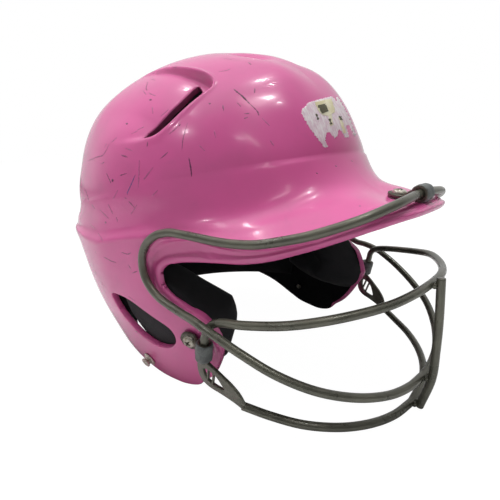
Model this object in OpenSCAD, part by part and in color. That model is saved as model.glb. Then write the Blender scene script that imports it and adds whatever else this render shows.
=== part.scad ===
// Batting helmet with a wire face guard.
// Millimetres. Z is up, the bill points to -Y, and the wearer's left is +X.
// The helmet rests on its ear flaps and on the foot of the guard at z = 0.

/* [Shell] */
// Overall width of the dome
shell_w = 206; // [190:1:225]
// Overall length of the dome, without the bill
shell_l = 240; // [222:1:262]
// Height of the crown above the resting surface
shell_h = 217; // [200:1:236]
// Wall of the moulded shell
wall = 3.4; // [2.6:0.1:4.4]
// Depth of the two shallow grooves beside the crown's middle rib
groove_depth = 4.2; // [0:0.1:6]
// Depth of the step in front of each rear scoop
scoop_depth = 7; // [3:0.5:9]
// Width of the slot in each scoop
slot_w = 6; // [4:0.5:8]
// Height of the slotted ear vent
vent_h = 15.5; // [11:0.5:18]

/* [Liner] */
// Thickness of the crown, front, rear and side pads
pad_t = 11; // [7:0.5:14]
// Thickness of the ear pads
ear_pad_t = 18; // [11:0.5:20]
// Gap between a pad and the shell
pad_gap = 0.8; // [0.6:0.1:1.5]

/* [Guard] */
// Diameter of the guard wire
wire_d = 5; // [4:0.1:6]
// Thickness of the cheek plates
plate_t = 2.2; // [1.6:0.1:3]
// Width of a cheek plate at its widest
plate_w = 11.5; // [9:0.5:14]

/* [Clips and fasteners] */
// Wall of the vinyl sleeve under a clip
sleeve_t = 0.9; // [0.7:0.05:1.2]
// Thickness of the clip strap
strap_t = 0.6; // [0.5:0.05:0.8]
// Width of the clip strap
strap_w = 9; // [7:0.5:12]
// Diameter of a clip screw's shank
screw_d = 4.2; // [3.5:0.1:5]
// Diameter of a clip screw's head
screw_head_d = 9.5; // [8.5:0.1:11]
// Diameter of a chin strap stud's cap
stud_cap_d = 7; // [6:0.1:8]
// Diameter of a chin strap stud's flange
stud_flange_d = 10; // [9:0.5:11]

/* [Hidden] */
$fn = 48;

// The forms are drawn for this width, length and height, and follow the sizes above.
drawn = [206, 240, 217];
grow = [shell_w / drawn.x, shell_l / drawn.y, shell_h / drawn.z];
function place(p) = [p.x * grow.x, p.y * grow.y, p.z * grow.z];
function place_all(list) = [for (p = list) place(p)];

// Vector helpers
function unit(v) = v / max(norm(v), 1e-9);
function mirror_x(p) = [-p.x, p.y, p.z];
function ramp(t) = let (c = min(max(t, 0), 1)) c * c * (3 - 2 * c);

// Catmull-Rom value of four points at t from 0 to 1
function blend(a, b, c, d, t) =
    0.5 * (2 * b + (c - a) * t + (2 * a - 5 * b + 4 * c - d) * t * t
        + (3 * b - a - 3 * c + d) * t * t * t);
function pick(list, i) =
    i < 0 ? 2 * list[0] - list[1] :
    i > len(list) - 1 ? 2 * list[len(list) - 1] - list[len(list) - 2] : list[i];
// A smooth curve through the listed points, at s from 0 to 1
function along(list, s) =
    let (n = len(list) - 1, q = min(max(s, 0), 1) * n, i = min(floor(q), n - 1))
    blend(pick(list, i - 1), list[i], list[i + 1], pick(list, i + 2), q - i);

// Dome: an ellipsoid whose long axis dips towards the back
dome_r = [shell_w / 2, shell_l / 2, 89 * grow.z];
dome_c = place([0, 31, 127]);
dome_tilt = 11;
function dome_local(v) = [v.x, v.y * cos(dome_tilt) + v.z * sin(dome_tilt),
    -v.y * sin(dome_tilt) + v.z * cos(dome_tilt)];
function dome_point(polar, turn) =
    dome_c + dome_local([dome_r.x * sin(polar) * sin(turn),
        -dome_r.y * sin(polar) * cos(turn), dome_r.z * cos(polar)]);
function dome_normal(polar, turn) =
    unit(dome_local([sin(polar) * sin(turn) / dome_r.x,
        -sin(polar) * cos(turn) / dome_r.y, cos(polar) / dome_r.z]));

// Rings below the dome are met by rays from this point of the middle plane
ray_y = 10 * grow.y;
// Distance along a ray to an ellipse of half width a that is centred at y0
function reach(a, b, y0, turn) =
    let (e = ray_y - y0, s = sin(turn) / a, c = cos(turn) / b, k = s * s + c * c,
        h = e * c / b)
    (h + sqrt(h * h - k * (e * e / (b * b) - 1))) / k;
// A point on a ring with its own reach to the front and to the back
function ring_point(ring, turn) =
    let (a = ring[0] * grow.x, y0 = ring[1] * grow.y, z = ring[4] * grow.z,
        f = reach(a, ring[2] * grow.y, y0, turn),
        r = ray_y - f * cos(turn) < y0 ? f : reach(a, ring[3] * grow.y, y0, turn))
    [r * sin(turn), ray_y - r * cos(turn), z];

// Half width, centre, reach to the front, reach to the back, height
waist_ring = [102, 22, 143.5, 116, 50];
hem_ring = [82.5, 24, 125, 92, -6];

// Edge of the bill, then the temple and the belt line to the back, wearer's left
edge_line = place_all([
    [0, -137, 124], [24, -135, 123], [46, -126, 119], [64, -110, 113.5], [78, -90, 108.5],
    [85, -70, 106.5], [90, -48, 108], [95, -26, 108], [101, 0, 104], [106, 31, 98],
    [101, 71, 90], [84, 109, 82], [48, 139.5, 75], [0, 150.9, 72]]);
lip_h = 8;

// Profile points from the dome's equator down, at share u of the way round
function profile(u) =
    let (edge = along(edge_line, u),
        turn = u <= 0 ? 0 : u >= 1 ? 180 : atan2(edge.x, ray_y - edge.y),
        waist = ring_point(waist_ring, turn),
        hem = ring_point(hem_ring, turn),
        far = reach(dome_r.x, dome_r.y * cos(dome_tilt), dome_c.y, turn),
        tau = atan2(far * sin(turn) / dome_r.x,
            (dome_c.y - ray_y + far * cos(turn)) / (dome_r.y * cos(dome_tilt))),
        equator = dome_point(90, tau),
        bill = ramp((75 - turn) / 45),
        back = ramp((turn - 100) / 50),
        dip = [0, 0, -3.2 * ramp(1 - turn / 15)],
        drop = [0, 0, edge.z - equator.z],
        out = edge - equator - drop,
        fillet = equator + out * (0.5 - 0.26 * bill + 0.5 * back) + drop * (0.5 + 0.09 * bill),
        brim = equator + out * (0.75 - 0.15 * bill + 0.3 * back)
            + drop * (0.75 + 0.05 * bill) + dip,
        lip = edge + (waist - edge) * 0.13)
    [tau, dome_point(74, tau), equator, fillet, brim, edge,
        [lip.x, lip.y, edge.z - lip_h], waist, hem, 2 * hem - waist];

// A bump of height 1 at the middle m that fades over the distance w
function bump(t, m, w) = exp(-pow((t - m) / w, 2));
// How far the surface stands proud of the plain ellipsoid, p with x not negative
function proud(p) =
    let (x = p.x / grow.x, y = p.y / grow.y, z = p.z / grow.z,
        high = min(max((z - 150) / 40, 0), 1),
        groove = -groove_depth * bump(x, 17, 9) * bump(y, -15, 15),
        rib = (1.5 * bump(y, -38, 14) - 2.2 * bump(y, 0, 11)) * bump(x, 0, 13),
        swell = 1.8 * bump(x, 18, 14) * bump(y, -52, 16),
        temple = -2.2 * bump(x, 42, 18) * bump(z, 166, 18) * ramp((-40 - y) / 20),
        hip = -1.6 * bump(z, 143, 16) * ramp((y - 10) / 40),
        nape = 1.2 * bump(z, 180, 14) * ramp((y - 20) / 30),
        behind_wall = x - 56 - 0.012 * pow(max(y, 0), 2),
        behind_slot = ((y + 36) * 35 - (x - 58) * 30) / 46,
        depth = scoop_depth * min(max((42 - y) / 72, 0), 1) * (1 - ramp((x - 84) / 13)),
        scoop = -depth * ramp((behind_wall + 3) / 6) * ramp((behind_slot + 3) / 6))
    (groove + rib + swell) * high + temple + hip + nape + scoop;

// Outer surface at share u round one side and at level v:
// 0 to 1 is the dome, and each whole number after it is the next profile point.
function outer_half(prof, v) =
    let (tau = prof[0])
    v <= 1 ?
        let (p = dome_point(90 * v, tau)) p + proud(p) * dome_normal(90 * v, tau)
        : let (i = min(floor(v), 6))
            blend(prof[i], prof[i + 1], prof[i + 2], prof[i + 3], v - i);
function outer(u, v) =
    let (w = u > 1 ? u - 2 : u, p = outer_half(profile(abs(w)), v)) w < 0 ? mirror_x(p) : p;

// The point at height h over the surface
function over(u, v, h) = outer(u, v) + h * outer_normal(u, v);
// Outward normal of the outer surface
step_u = 0.004;
step_v = 0.02;
function outer_normal(u, v) =
    let (w = max(v, 0.03), a = outer(u + step_u, w) - outer(u - step_u, w),
        b = outer(u, w + step_v) - outer(u, w - step_v))
    unit(cross(b, a));

// Levels of the rings that make up the shell
shell_levels = concat([for (i = [1:12]) i / 12], [1.35, 1.7, 2, 2.5, 3, 3.5, 4, 4.5, 5],
    [for (i = [1:4]) 5 + i / 4], [6.33, 6.67, 7]);
around_half = 36;
around = 2 * around_half;
// Share of the way round, from the back over the wearer's right to the front and on
function share(j) = let (k = (j + around_half) % around - around_half) k / around_half;

function ring_grid() =
    let (profs = [for (j = [0:around_half]) profile(j / around_half)])
    [for (v = shell_levels) [for (j = [0:around - 1])
        let (u = share(j), p = outer_half(profs[round(abs(u) * around_half)], v))
        u < 0 ? mirror_x(p) : p]];
function grid_normal(g, i, j) =
    let (n = len(g[0]), a = g[i][(j + 1) % n] - g[i][(j + n - 1) % n],
        b = g[min(i + 1, len(g) - 1)][j] - (i > 0 ? g[i - 1][j] : crown_top))
    unit(cross(b, a));
crown_top = let (p = dome_point(0, 0)) p + proud(p) * dome_normal(0, 0);
crown_normal = dome_normal(0, 0);

// Closed cup between the outer surface and the same surface drawn in by the wall
module cup() {
    g = ring_grid();
    rows = len(g);
    inner = [for (i = [0:rows - 1]) [for (j = [0:around - 1])
        g[i][j] - wall * grid_normal(g, i, j)]];
    points = concat([for (r = g) each r], [for (r = inner) each r],
        [crown_top, crown_top - wall * crown_normal]);
    size = rows * around;
    function at(layer, i, j) = layer * size + i * around + j % around;
    outside = [for (i = [0:rows - 2], j = [0:around - 1])
        each [[at(0, i, j), at(0, i, j + 1), at(0, i + 1, j + 1)],
            [at(0, i, j), at(0, i + 1, j + 1), at(0, i + 1, j)]]];
    inside = [for (i = [0:rows - 2], j = [0:around - 1])
        each [[at(1, i, j), at(1, i + 1, j + 1), at(1, i, j + 1)],
            [at(1, i, j), at(1, i + 1, j), at(1, i + 1, j + 1)]]];
    caps = [for (j = [0:around - 1])
        each [[2 * size, at(0, 0, j + 1), at(0, 0, j)],
            [2 * size + 1, at(1, 0, j), at(1, 0, j + 1)]]];
    hem = [for (j = [0:around - 1])
        each [[at(0, rows - 1, j), at(0, rows - 1, j + 1), at(1, rows - 1, j + 1)],
            [at(0, rows - 1, j), at(1, rows - 1, j + 1), at(1, rows - 1, j)]]];
    polyhedron(points, concat(outside, inside, caps, hem), convexity = 8);
}

// Side view of what is open: the face, and all that lies below the rim (y, z)
open_line = [
    [-150, 121], [-138, 120], [-130, 116.8], [-121, 113], [-110, 108.6], [-94, 104],
    [-77, 100.6], [-60, 99], [-47, 97], [-36.5, 95], [-31.4, 92.4], [-28.4, 88.8],
    [-27.6, 85.7], [-29, 79.9], [-34, 75.4], [-44, 67.8], [-53, 61.1], [-58, 53],
    [-60.3, 45.5], [-58, 37.9], [-50, 24.2], [-43.7, 16.7], [-35.4, 9.5], [-27, 4],
    [-17, 0.8], [-6, 0], [8, 1], [20, 5], [34, 12.5], [60, 22.5], [100, 32], [150, 37]];
open_steps = 3;
module side_view_cut() {
    n = (len(open_line) - 1) * open_steps;
    curve = [for (i = [0:n]) let (p = along(open_line, i / n)) [p.x * grow.y, p.y * grow.z]];
    rotate([90, 0, 90]) linear_extrude(height = 2 * shell_w, center = true)
        polygon(concat([[-2 * shell_l, curve[0].y]], curve,
            [[2 * shell_l, curve[n].y], [2 * shell_l, -shell_h], [-2 * shell_l, -shell_h]]));
}

// Ear vent: a teardrop seen from the side, wide towards the front
vent_front = place([0, -21.5, 48]);
vent_middle = place([0, -8, 51.5]);
vent_tip = place([0, 18, 65.5]);
vent_tip_h = 5;
module across(p, d) {
    translate([0, p.y, p.z]) rotate([0, 90, 0]) cylinder(h = shell_w, d = d, $fn = 32);
}
module ear_vent() {
    hull() { across(vent_front, vent_h); across(vent_middle, vent_h - 1.5); }
    hull() { across(vent_middle, vent_h - 1.5); across(vent_tip, vent_tip_h); }
}
// Slot at the front of the rear scoop, square to the shell, wearer's left
slot_high = place([64, -32, 184]);
slot_mid = place([75, -27, 176]);
slot_low = place([86.5, -18, 164]);
slot_aim = unit([0.72, -0.1, 0.68]);
module poke(p, d) {
    a = acos(slot_aim.z);
    b = atan2(slot_aim.y, slot_aim.x);
    translate(p) rotate([0, a, b]) cylinder(h = 40, d = d, center = true, $fn = 24);
}
module scoop_slot() {
    hull() { poke(slot_high, slot_w); poke(slot_mid, slot_w); }
    hull() { poke(slot_mid, slot_w); poke(slot_low, slot_w * 0.6); }
}

// Seats of the clips: a spot of the shell, its normal, the wire's axis and direction there
bar_r = wire_d / 2;
sleeve_r = bar_r + sleeve_t;
strap_r = sleeve_r + strap_t;
tab_t = 2 * strap_t;
link_t = tab_t - 0.4;
seat_gap = 0.55;
bill_lift = 0.45; // the brim is slightly hollow under the tab
bill_seat = outer(0, 3.15) + [0, 0, bill_lift];
bill_normal = unit(outer_normal(0, 3.15));
bill_axis = [0, bill_seat.y - 12.8 * grow.y, bill_seat.z - bill_lift + strap_r + 0.7];
side_seat = outer(0.484, 6.07);
side_normal = outer_normal(0.484, 6.07);
side_axis = place([92.6, -56.8, 46.7]);
side_dir = unit([0.03, -0.2, 0.98]);

// Guard wires, wearer's left half, front centre last.
// The main loop lies over the shell as far as the jaw, given as share, level and height.
wire_gap = 0.5;
low = bar_r + wire_gap;
main_over = [
    [0.082, 3.78, low + 0.9], [0.125, 3.8, low + 0.5],
    [0.163, 3.88, low + 0.3], [0.207, 3.92, low], [0.251, 3.93, low], [0.31, 3.93, low],
    [0.35, 3.84, low], [0.39, 3.76, low], [0.433, 3.665, low], [0.478, 3.56, low],
    [0.507, 3.5, low], [0.539, 3.77, low], [0.562, 4.74, low], [0.575, 5.07, low],
    [0.572, 5.3, low], [0.561, 5.47, low], [0.536, 5.6, low], [0.488, 5.69, low + 1]];
main_line = concat([for (x = [0, 4, 8]) bill_axis + [x, 0, 0]],
    [for (p = main_over) over(p[0], p[1], p[2])], place_all([
    [96.6, -52, 66.3], [96.2, -61, 64.4], [94.5, -70, 61.2], [90.5, -84, 55], [83, -101, 46.5],
    [71, -117, 38.5], [54, -129.5, 31.5], [35, -138, 26.5], [17, -142, 24], [0, -143, 23]]));
leg_foot = side_axis - 8 * side_dir;
leg_head = side_axis + 9 * side_dir;
eye_line = concat([leg_foot, side_axis - 4 * side_dir, side_axis, side_axis + 5 * side_dir, leg_head],
    place_all([[91.7, -60.2, 60.6], [90.2, -64, 64.8], [89.2, -71, 67.3], [87, -84, 69.5],
    [80, -102.5, 72.8], [70, -116.5, 75.7], [54, -127.7, 77.3], [36, -136, 78.5],
    [18, -140.7, 80], [0, -142, 80.5]]));
chin_line = place_all([
    [84.5, -78, 17], [77, -92, 13.5], [67.5, -107, 10.5], [54, -120.5, 8], [38, -130.5, 6],
    [20, -136.3, 4], [0, -138.3, bar_r / grow.z]]);
// The post stands in front of the three wires.
post_line = [for (p = [[-141.7, 84.5], [-142, 80.5], [-143.2, 60], [-143.5, 42], [-143.05, 23],
        [-138.1, 2]]) [0, p.x * grow.y - wire_d, p.y * grow.z]];

function whole(half) = concat([for (i = [0:len(half) - 1]) mirror_x(half[i])],
    [for (i = [len(half) - 2:-1:0]) half[i]]);
function sampled(list, n) = [for (i = [0:n]) along(list, i / n)];

// Tube of round section along a list of points
tube_sides = 10;
tube_core = place([0, -20, 70]);
module tube(path, r, closed = false) {
    n = len(path);
    function before(i) = closed ? path[(i + n - 1) % n] : path[max(i - 1, 0)];
    function after(i) = closed ? path[(i + 1) % n] : path[min(i + 1, n - 1)];
    points = [for (i = [0:n - 1])
        let (t = unit(after(i) - before(i)), a = unit(cross(t, path[i] - tube_core)),
            b = cross(t, a))
        for (k = [0:tube_sides - 1])
            path[i] + r * (cos(360 * k / tube_sides) * a + sin(360 * k / tube_sides) * b)];
    last = closed ? n - 1 : n - 2;
    sides = [for (i = [0:last], k = [0:tube_sides - 1])
        let (p = i * tube_sides + k, q = i * tube_sides + (k + 1) % tube_sides,
            s = ((i + 1) % n) * tube_sides + (k + 1) % tube_sides,
            t = ((i + 1) % n) * tube_sides + k)
        each [[p, s, q], [p, t, s]]];
    ends = closed ? [] : [[for (k = [0:tube_sides - 1]) k],
        [for (k = [tube_sides - 1:-1:0]) (n - 1) * tube_sides + k]];
    polyhedron(points, concat(sides, ends), convexity = 6);
}

// Clip: a strap round the sleeve, and a tab on the shell that the screw holds down
tab_r = strap_w / 2 + 1;
hole_play = 0.3;
strap_play = 0.05;
sleeve_play = 0.25;
// Axes of a frame on a seat: x along the wire, y towards the wire, z out of the shell
function seat_axes(seat, normal, axis, dir) =
    let (x = unit(dir - (dir * normal) * normal), y = cross(normal, x),
        side = y * (axis - seat) > 0 ? 1 : -1)
    [side * x, side * y, normal];
// Axes of a frame on the wire: x along it, z away from the shell
function wire_axes(normal, dir) =
    let (z = unit(normal - (normal * dir) * dir)) [dir, cross(z, dir), z];
module stand(a, p) {
    multmatrix([[a[0].x, a[1].x, a[2].x, p.x], [a[0].y, a[1].y, a[2].y, p.y],
        [a[0].z, a[1].z, a[2].z, p.z], [0, 0, 0, 1]]) children();
}
module clip_form(seat, normal, axis, dir) {
    s = seat_axes(seat, normal, axis, dir);
    w = wire_axes(normal, dir);
    link_start = seat + tab_r * s[1] + (seat_gap + tab_t / 2) * s[2];
    link_end = axis - (strap_r - tab_t / 2 - 0.2) * w[2];
    link_y = unit(link_end - link_start);
    link_x = unit(s[0] - (s[0] * link_y) * link_y);
    difference() {
        union() {
            stand(w, axis) rotate([0, 90, 0]) cylinder(h = strap_w, r = strap_r, center = true);
            stand(s, seat) translate([0, 0, seat_gap]) {
                cylinder(h = tab_t, r = tab_r);
                translate([-strap_w / 2, 0, 0]) cube([strap_w, tab_r, tab_t]);
            }
            stand([link_x, link_y, cross(link_x, link_y)], link_start)
                translate([-strap_w / 2 + 0.3, -0.8, -link_t / 2])
                    cube([strap_w - 0.6, norm(link_end - link_start) + 0.8, link_t]);
        }
        stand(w, axis) rotate([0, 90, 0])
            cylinder(h = 2 * strap_w, r = sleeve_r + strap_play, center = true);
        stand(s, seat) cylinder(h = 3 * tab_t, d = screw_d + 2 * hole_play);
    }
}
module sleeve_form(normal, axis, dir) {
    stand(wire_axes(normal, dir), axis) rotate([0, 90, 0]) difference() {
        cylinder(h = strap_w + 3, r = sleeve_r, center = true);
        cylinder(h = strap_w + 6, r = bar_r + sleeve_play, center = true);
    }
}
// Screw down through the tab, its head on the tab
head_h = 2.2;
nut_flange_t = 1.2;
nut_gap = 0.9;
nut_barrel_d = screw_d + 2.6;
shank_l = seat_gap + tab_t + wall + nut_gap + nut_flange_t + 0.4;
module screw_form(seat, normal, axis, dir) {
    stand(seat_axes(seat, normal, axis, dir), seat)
        translate([0, 0, seat_gap + tab_t + 0.05]) difference() {
            union() {
                translate([0, 0, -shank_l]) cylinder(h = shank_l + 0.2, d = screw_d);
                cylinder(h = head_h * 0.4, d = screw_head_d);
                translate([0, 0, head_h * 0.4])
                    cylinder(h = head_h * 0.6, d1 = screw_head_d, d2 = screw_head_d * 0.62);
            }
            for (a = [0, 90]) rotate([0, 0, a])
                translate([-screw_head_d * 0.26, -0.5, head_h * 0.4])
                    cube([screw_head_d * 0.52, 1, head_h]);
        }
}
// Tee nut in the wall, with its flange on the inner side
module nut_form(seat, normal, axis, dir) {
    stand(seat_axes(seat, normal, axis, dir), seat) difference() {
        union() {
            translate([0, 0, -wall - nut_gap - nut_flange_t])
                cylinder(h = nut_flange_t, d = screw_head_d + 3);
            translate([0, 0, -wall - nut_gap - nut_flange_t])
                cylinder(h = wall + nut_gap + nut_flange_t - 0.6, d = nut_barrel_d);
        }
        translate([0, 0, -2 * wall - 4]) cylinder(h = 2 * wall + 8, d = screw_d + 0.1);
    }
}
module seat_hole(seat, normal) {
    stand(seat_axes(seat, normal, seat + [1, 1, 0], [0.5, 0.1, 0.2]), seat)
        cylinder(h = 4 * wall, d = nut_barrel_d + 0.4, center = true);
}

// Cheek plate between the foot of the eye bar and the end of the chin bar:
// a leaf with a straight front edge and a full rear edge, with a row of plain slots
plate_top = leg_foot;
plate_tip = chin_line[0];
plate_run = norm(plate_tip - plate_top);
plate_face = [1, -0.18, -0.16];
plate_slots = 3;
chin_dir = unit(chin_line[1] - chin_line[0]);
module plate_form() {
    front = -plate_w * 0.28;
    rear = plate_w * 0.72;
    top = bar_r + 0.4;
    difference() {
        linear_extrude(height = plate_t, center = true) polygon([
            [-3, -top], [-3, top], [plate_run * 0.14, rear * 0.86], [plate_run * 0.25, rear],
            [plate_run * 0.38, rear * 0.98], [plate_run * 0.56, rear * 0.8],
            [plate_run * 0.78, rear * 0.5], [plate_run + 2, bar_r * 0.9],
            [plate_run + 2, -bar_r * 0.9], [plate_run * 0.78, -bar_r * 1.15],
            [plate_run * 0.5, front * 1.05], [plate_run * 0.2, front]]);
        for (i = [0:plate_slots - 1]) let (c = plate_run * (0.24 + 0.17 * i), w = rear * (0.72 - 0.13 * i))
            linear_extrude(height = plate_t + 2, center = true)
                polygon([[c - 1.4, front * 0.4], [c + 1, front * 0.4], [c + 2.2, w], [c - 0.2, w]]);
    }
}
module place_plate() {
    d = unit(plate_tip - plate_top);
    s = unit(cross(plate_face, d));
    stand([d, s, cross(d, s)], plate_top) children();
}
// What the plate must leave free: the ends of the two wires
module wire_ends() {
    stand(wire_axes([1, 0, 0], side_dir), leg_foot) translate([-0.05, 0, 0]) rotate([0, 90, 0])
        cylinder(h = 12, r = 3 * bar_r);
    stand(wire_axes([1, 0, 0], chin_dir), plate_tip) translate([-0.05, 0, 0]) rotate([0, 90, 0])
        cylinder(h = 12, r = 3 * bar_r);
}

// Chin strap stud at the lower back of each flap
stud_u = 0.66;
stud_v = 6.68;
stud_spot = outer(stud_u, stud_v);
stud_axis = outer_normal(stud_u, stud_v);
stud_h = 5;
module on_stud() {
    a = acos(stud_axis.z);
    b = atan2(stud_axis.y, stud_axis.x);
    translate(stud_spot) rotate([0, a, b]) children();
}
stud_post_d = 4;
module stud_form() {
    translate([0, 0, 0.4]) {
        cylinder(h = 1, d = stud_flange_d);
        cylinder(h = stud_h - 2, d = stud_cap_d - 1.6);
        translate([0, 0, stud_h - 2]) cylinder(h = 1.4, d = stud_cap_d);
    }
    translate([0, 0, -wall - 2]) cylinder(h = wall + 2.6, d = stud_post_d);
}
module stud_washer_form() {
    translate([0, 0, -wall - 1.6]) difference() {
        cylinder(h = 1.2, d = stud_flange_d);
        translate([0, 0, -1]) cylinder(h = 4, d = stud_post_d + 0.1);
    }
}

// Cushion on the inside of the shell, between shares u and levels v of the surface.
// Its back follows the shell, its face is crowned, and its sides draw in.
pad_cols = 12;
pad_rows = 10;
edge_t = 0.35;
hollow_depth = nut_gap + nut_flange_t + 1;
function full(t) = pow(1 - pow(abs(2 * t - 1), 3.2), 0.6);
// Surface spot of a pad: on a centre pad, u and v are places along x and y over the crown
function pad_spot(centre, u, v) = centre ? crown_spot(u, v) : outer(u, v);
function pad_normal(centre, u, v) = centre ?
    unit(cross(crown_spot(u + 1, v) - crown_spot(u - 1, v), crown_spot(u, v + 1) - crown_spot(u, v - 1)))
    : outer_normal(u, v);
function crown_spot(x, y) =
    let (d = norm([x, y]), turn = atan2(x, -y), polar = asin(min(d / dome_r.y, 0.99)),
        p = dome_point(polar, turn), side = [abs(p.x), p.y, p.z])
    p + proud(side) * dome_normal(polar, turn);
module pad(u0, u1, v0, v1, t, centre = false, hollow_at = [0, 0, 0], hollow_r = 0) {
    function spot(i, j, layer) =
        let (s = i / pad_cols, w = j / pad_rows, thick = full(s) * full(w),
            pull = layer == 0 ? 0.96 : 1,
            u = u0 + (u1 - u0) * (0.5 + (s - 0.5) * pull),
            v = v0 + (v1 - v0) * (0.5 + (w - 0.5) * pull),
            p = pad_spot(centre, u, v), n = pad_normal(centre, u, v),
            near = hollow_r > 0 ? ramp((hollow_r - norm(p - hollow_at)) / 4 + 0.5) : 0,
            back = wall + pad_gap + hollow_depth * near,
            front = wall + pad_gap + t * (edge_t + (1 - edge_t) * thick))
        p - (layer == 0 ? back : max(back + 1.5, front)) * n;
    cols = pad_cols + 1;
    rows = pad_rows + 1;
    size = cols * rows;
    points = [for (layer = [0, 1], j = [0:pad_rows], i = [0:pad_cols]) spot(i, j, layer)];
    function at(layer, i, j) = layer * size + j * cols + i;
    function quad(a, b, c, d) = [[a, b, c], [a, c, d]];
    back = [for (j = [0:pad_rows - 1], i = [0:pad_cols - 1])
        each quad(at(0, i, j), at(0, i + 1, j), at(0, i + 1, j + 1), at(0, i, j + 1))];
    face = [for (j = [0:pad_rows - 1], i = [0:pad_cols - 1])
        each quad(at(1, i, j), at(1, i, j + 1), at(1, i + 1, j + 1), at(1, i + 1, j))];
    rims = [for (i = [0:pad_cols - 1]) each concat(
        quad(at(0, i + 1, 0), at(0, i, 0), at(1, i, 0), at(1, i + 1, 0)),
        quad(at(0, i, pad_rows), at(0, i + 1, pad_rows), at(1, i + 1, pad_rows), at(1, i, pad_rows)))];
    ends = [for (j = [0:pad_rows - 1]) each concat(
        quad(at(0, 0, j), at(0, 0, j + 1), at(1, 0, j + 1), at(1, 0, j)),
        quad(at(0, pad_cols, j + 1), at(0, pad_cols, j), at(1, pad_cols, j), at(1, pad_cols, j + 1)))];
    polyhedron(points, concat(back, face, rims, ends), convexity = 6);
}

module shell() {
    color([0.87, 0.45, 0.66]) difference() {
        cup();
        side_view_cut();
        ear_vent();
        mirror([1, 0, 0]) ear_vent();
        scoop_slot();
        mirror([1, 0, 0]) scoop_slot();
        seat_hole(bill_seat, bill_normal);
        seat_hole(side_seat, side_normal);
        mirror([1, 0, 0]) seat_hole(side_seat, side_normal);
        on_stud() translate([0, 0, -15]) cylinder(h = 30, d = stud_post_d + 0.4);
        mirror([1, 0, 0]) on_stud() translate([0, 0, -15]) cylinder(h = 30, d = stud_post_d + 0.4);
    }
}
foam = [0.14, 0.14, 0.15];
module crown_pad() { color(foam) pad(-34, 34, -46, 40, pad_t, centre = true); }
module front_pad() { color(foam) pad(-0.22, 0.22, 0.7, 1.2, pad_t); }
module rear_pad() { color(foam) pad(0.83, 1.17, 0.72, 3.6, pad_t); }
module side_pad_left() { color(foam) pad(0.43, 0.74, 0.84, 1.85, pad_t); }
module side_pad_right() { mirror([1, 0, 0]) side_pad_left(); }
module ear_pad_left() {
    color(foam) pad(0.4, 0.6, 5.25, 6.7, ear_pad_t, hollow_at = side_seat,
        hollow_r = screw_head_d / 2 + 4);
}
module ear_pad_right() { mirror([1, 0, 0]) ear_pad_left(); }

wire_color = [0.42, 0.41, 0.36];
module guard_main_loop() {
    n = 48;
    half = sampled(main_line, n);
    loop = concat([for (i = [0:n]) mirror_x(half[i])], [for (i = [n - 1:-1:1]) half[i]]);
    color(wire_color) tube(loop, bar_r, closed = true);
}
module guard_eye_bar() {
    color(wire_color) tube(whole(sampled(eye_line, 28)), bar_r);
}
module guard_chin_bar() {
    color(wire_color) tube(whole(sampled(chin_line, 15)), bar_r);
}
module guard_centre_post() {
    color(wire_color) tube(sampled(post_line, 12), bar_r);
}
module cheek_plate_left() {
    color(wire_color) difference() {
        place_plate() plate_form();
        wire_ends();
    }
}
module cheek_plate_right() { mirror([1, 0, 0]) cheek_plate_left(); }

steel = [0.62, 0.62, 0.6];
module clip_bill() { color(steel) clip_form(bill_seat, bill_normal, bill_axis, [1, 0, 0]); }
module clip_left() { color(steel) clip_form(side_seat, side_normal, side_axis, side_dir); }
module clip_right() { mirror([1, 0, 0]) clip_left(); }
vinyl = [0.42, 0.45, 0.5];
module sleeve_bill() { color(vinyl) sleeve_form(bill_normal, bill_axis, [1, 0, 0]); }
module sleeve_left() { color(vinyl) sleeve_form(side_normal, side_axis, side_dir); }
module sleeve_right() { mirror([1, 0, 0]) sleeve_left(); }
nickel = [0.75, 0.73, 0.68];
module screw_bill() { color(nickel) screw_form(bill_seat, bill_normal, bill_axis, [1, 0, 0]); }
module screw_left() { color(nickel) screw_form(side_seat, side_normal, side_axis, side_dir); }
module screw_right() { mirror([1, 0, 0]) screw_left(); }
module nut_bill() { color(nickel) nut_form(bill_seat, bill_normal, bill_axis, [1, 0, 0]); }
module nut_left() { color(nickel) nut_form(side_seat, side_normal, side_axis, side_dir); }
module nut_right() { mirror([1, 0, 0]) nut_left(); }
module stud_left() { color(nickel) on_stud() stud_form(); }
module stud_right() { mirror([1, 0, 0]) stud_left(); }
module stud_washer_left() { color(nickel) on_stud() stud_washer_form(); }
module stud_washer_right() { mirror([1, 0, 0]) stud_washer_left(); }

shell();
crown_pad();
front_pad();
rear_pad();
side_pad_left();
side_pad_right();
ear_pad_left();
ear_pad_right();
guard_main_loop();
guard_eye_bar();
guard_chin_bar();
guard_centre_post();
cheek_plate_left();
cheek_plate_right();
clip_bill();
clip_left();
clip_right();
sleeve_bill();
sleeve_left();
sleeve_right();
screw_bill();
screw_left();
screw_right();
nut_bill();
nut_left();
nut_right();
stud_left();
stud_right();
stud_washer_left();
stud_washer_right();
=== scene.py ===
"""Looks of the batting helmet with face mask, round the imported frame. Lengths are mm until a mesh is made."""

import math

import bmesh
import bpy
import numpy as np
from mathutils import Matrix, Vector
from mathutils.bvhtree import BVHTree


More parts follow.
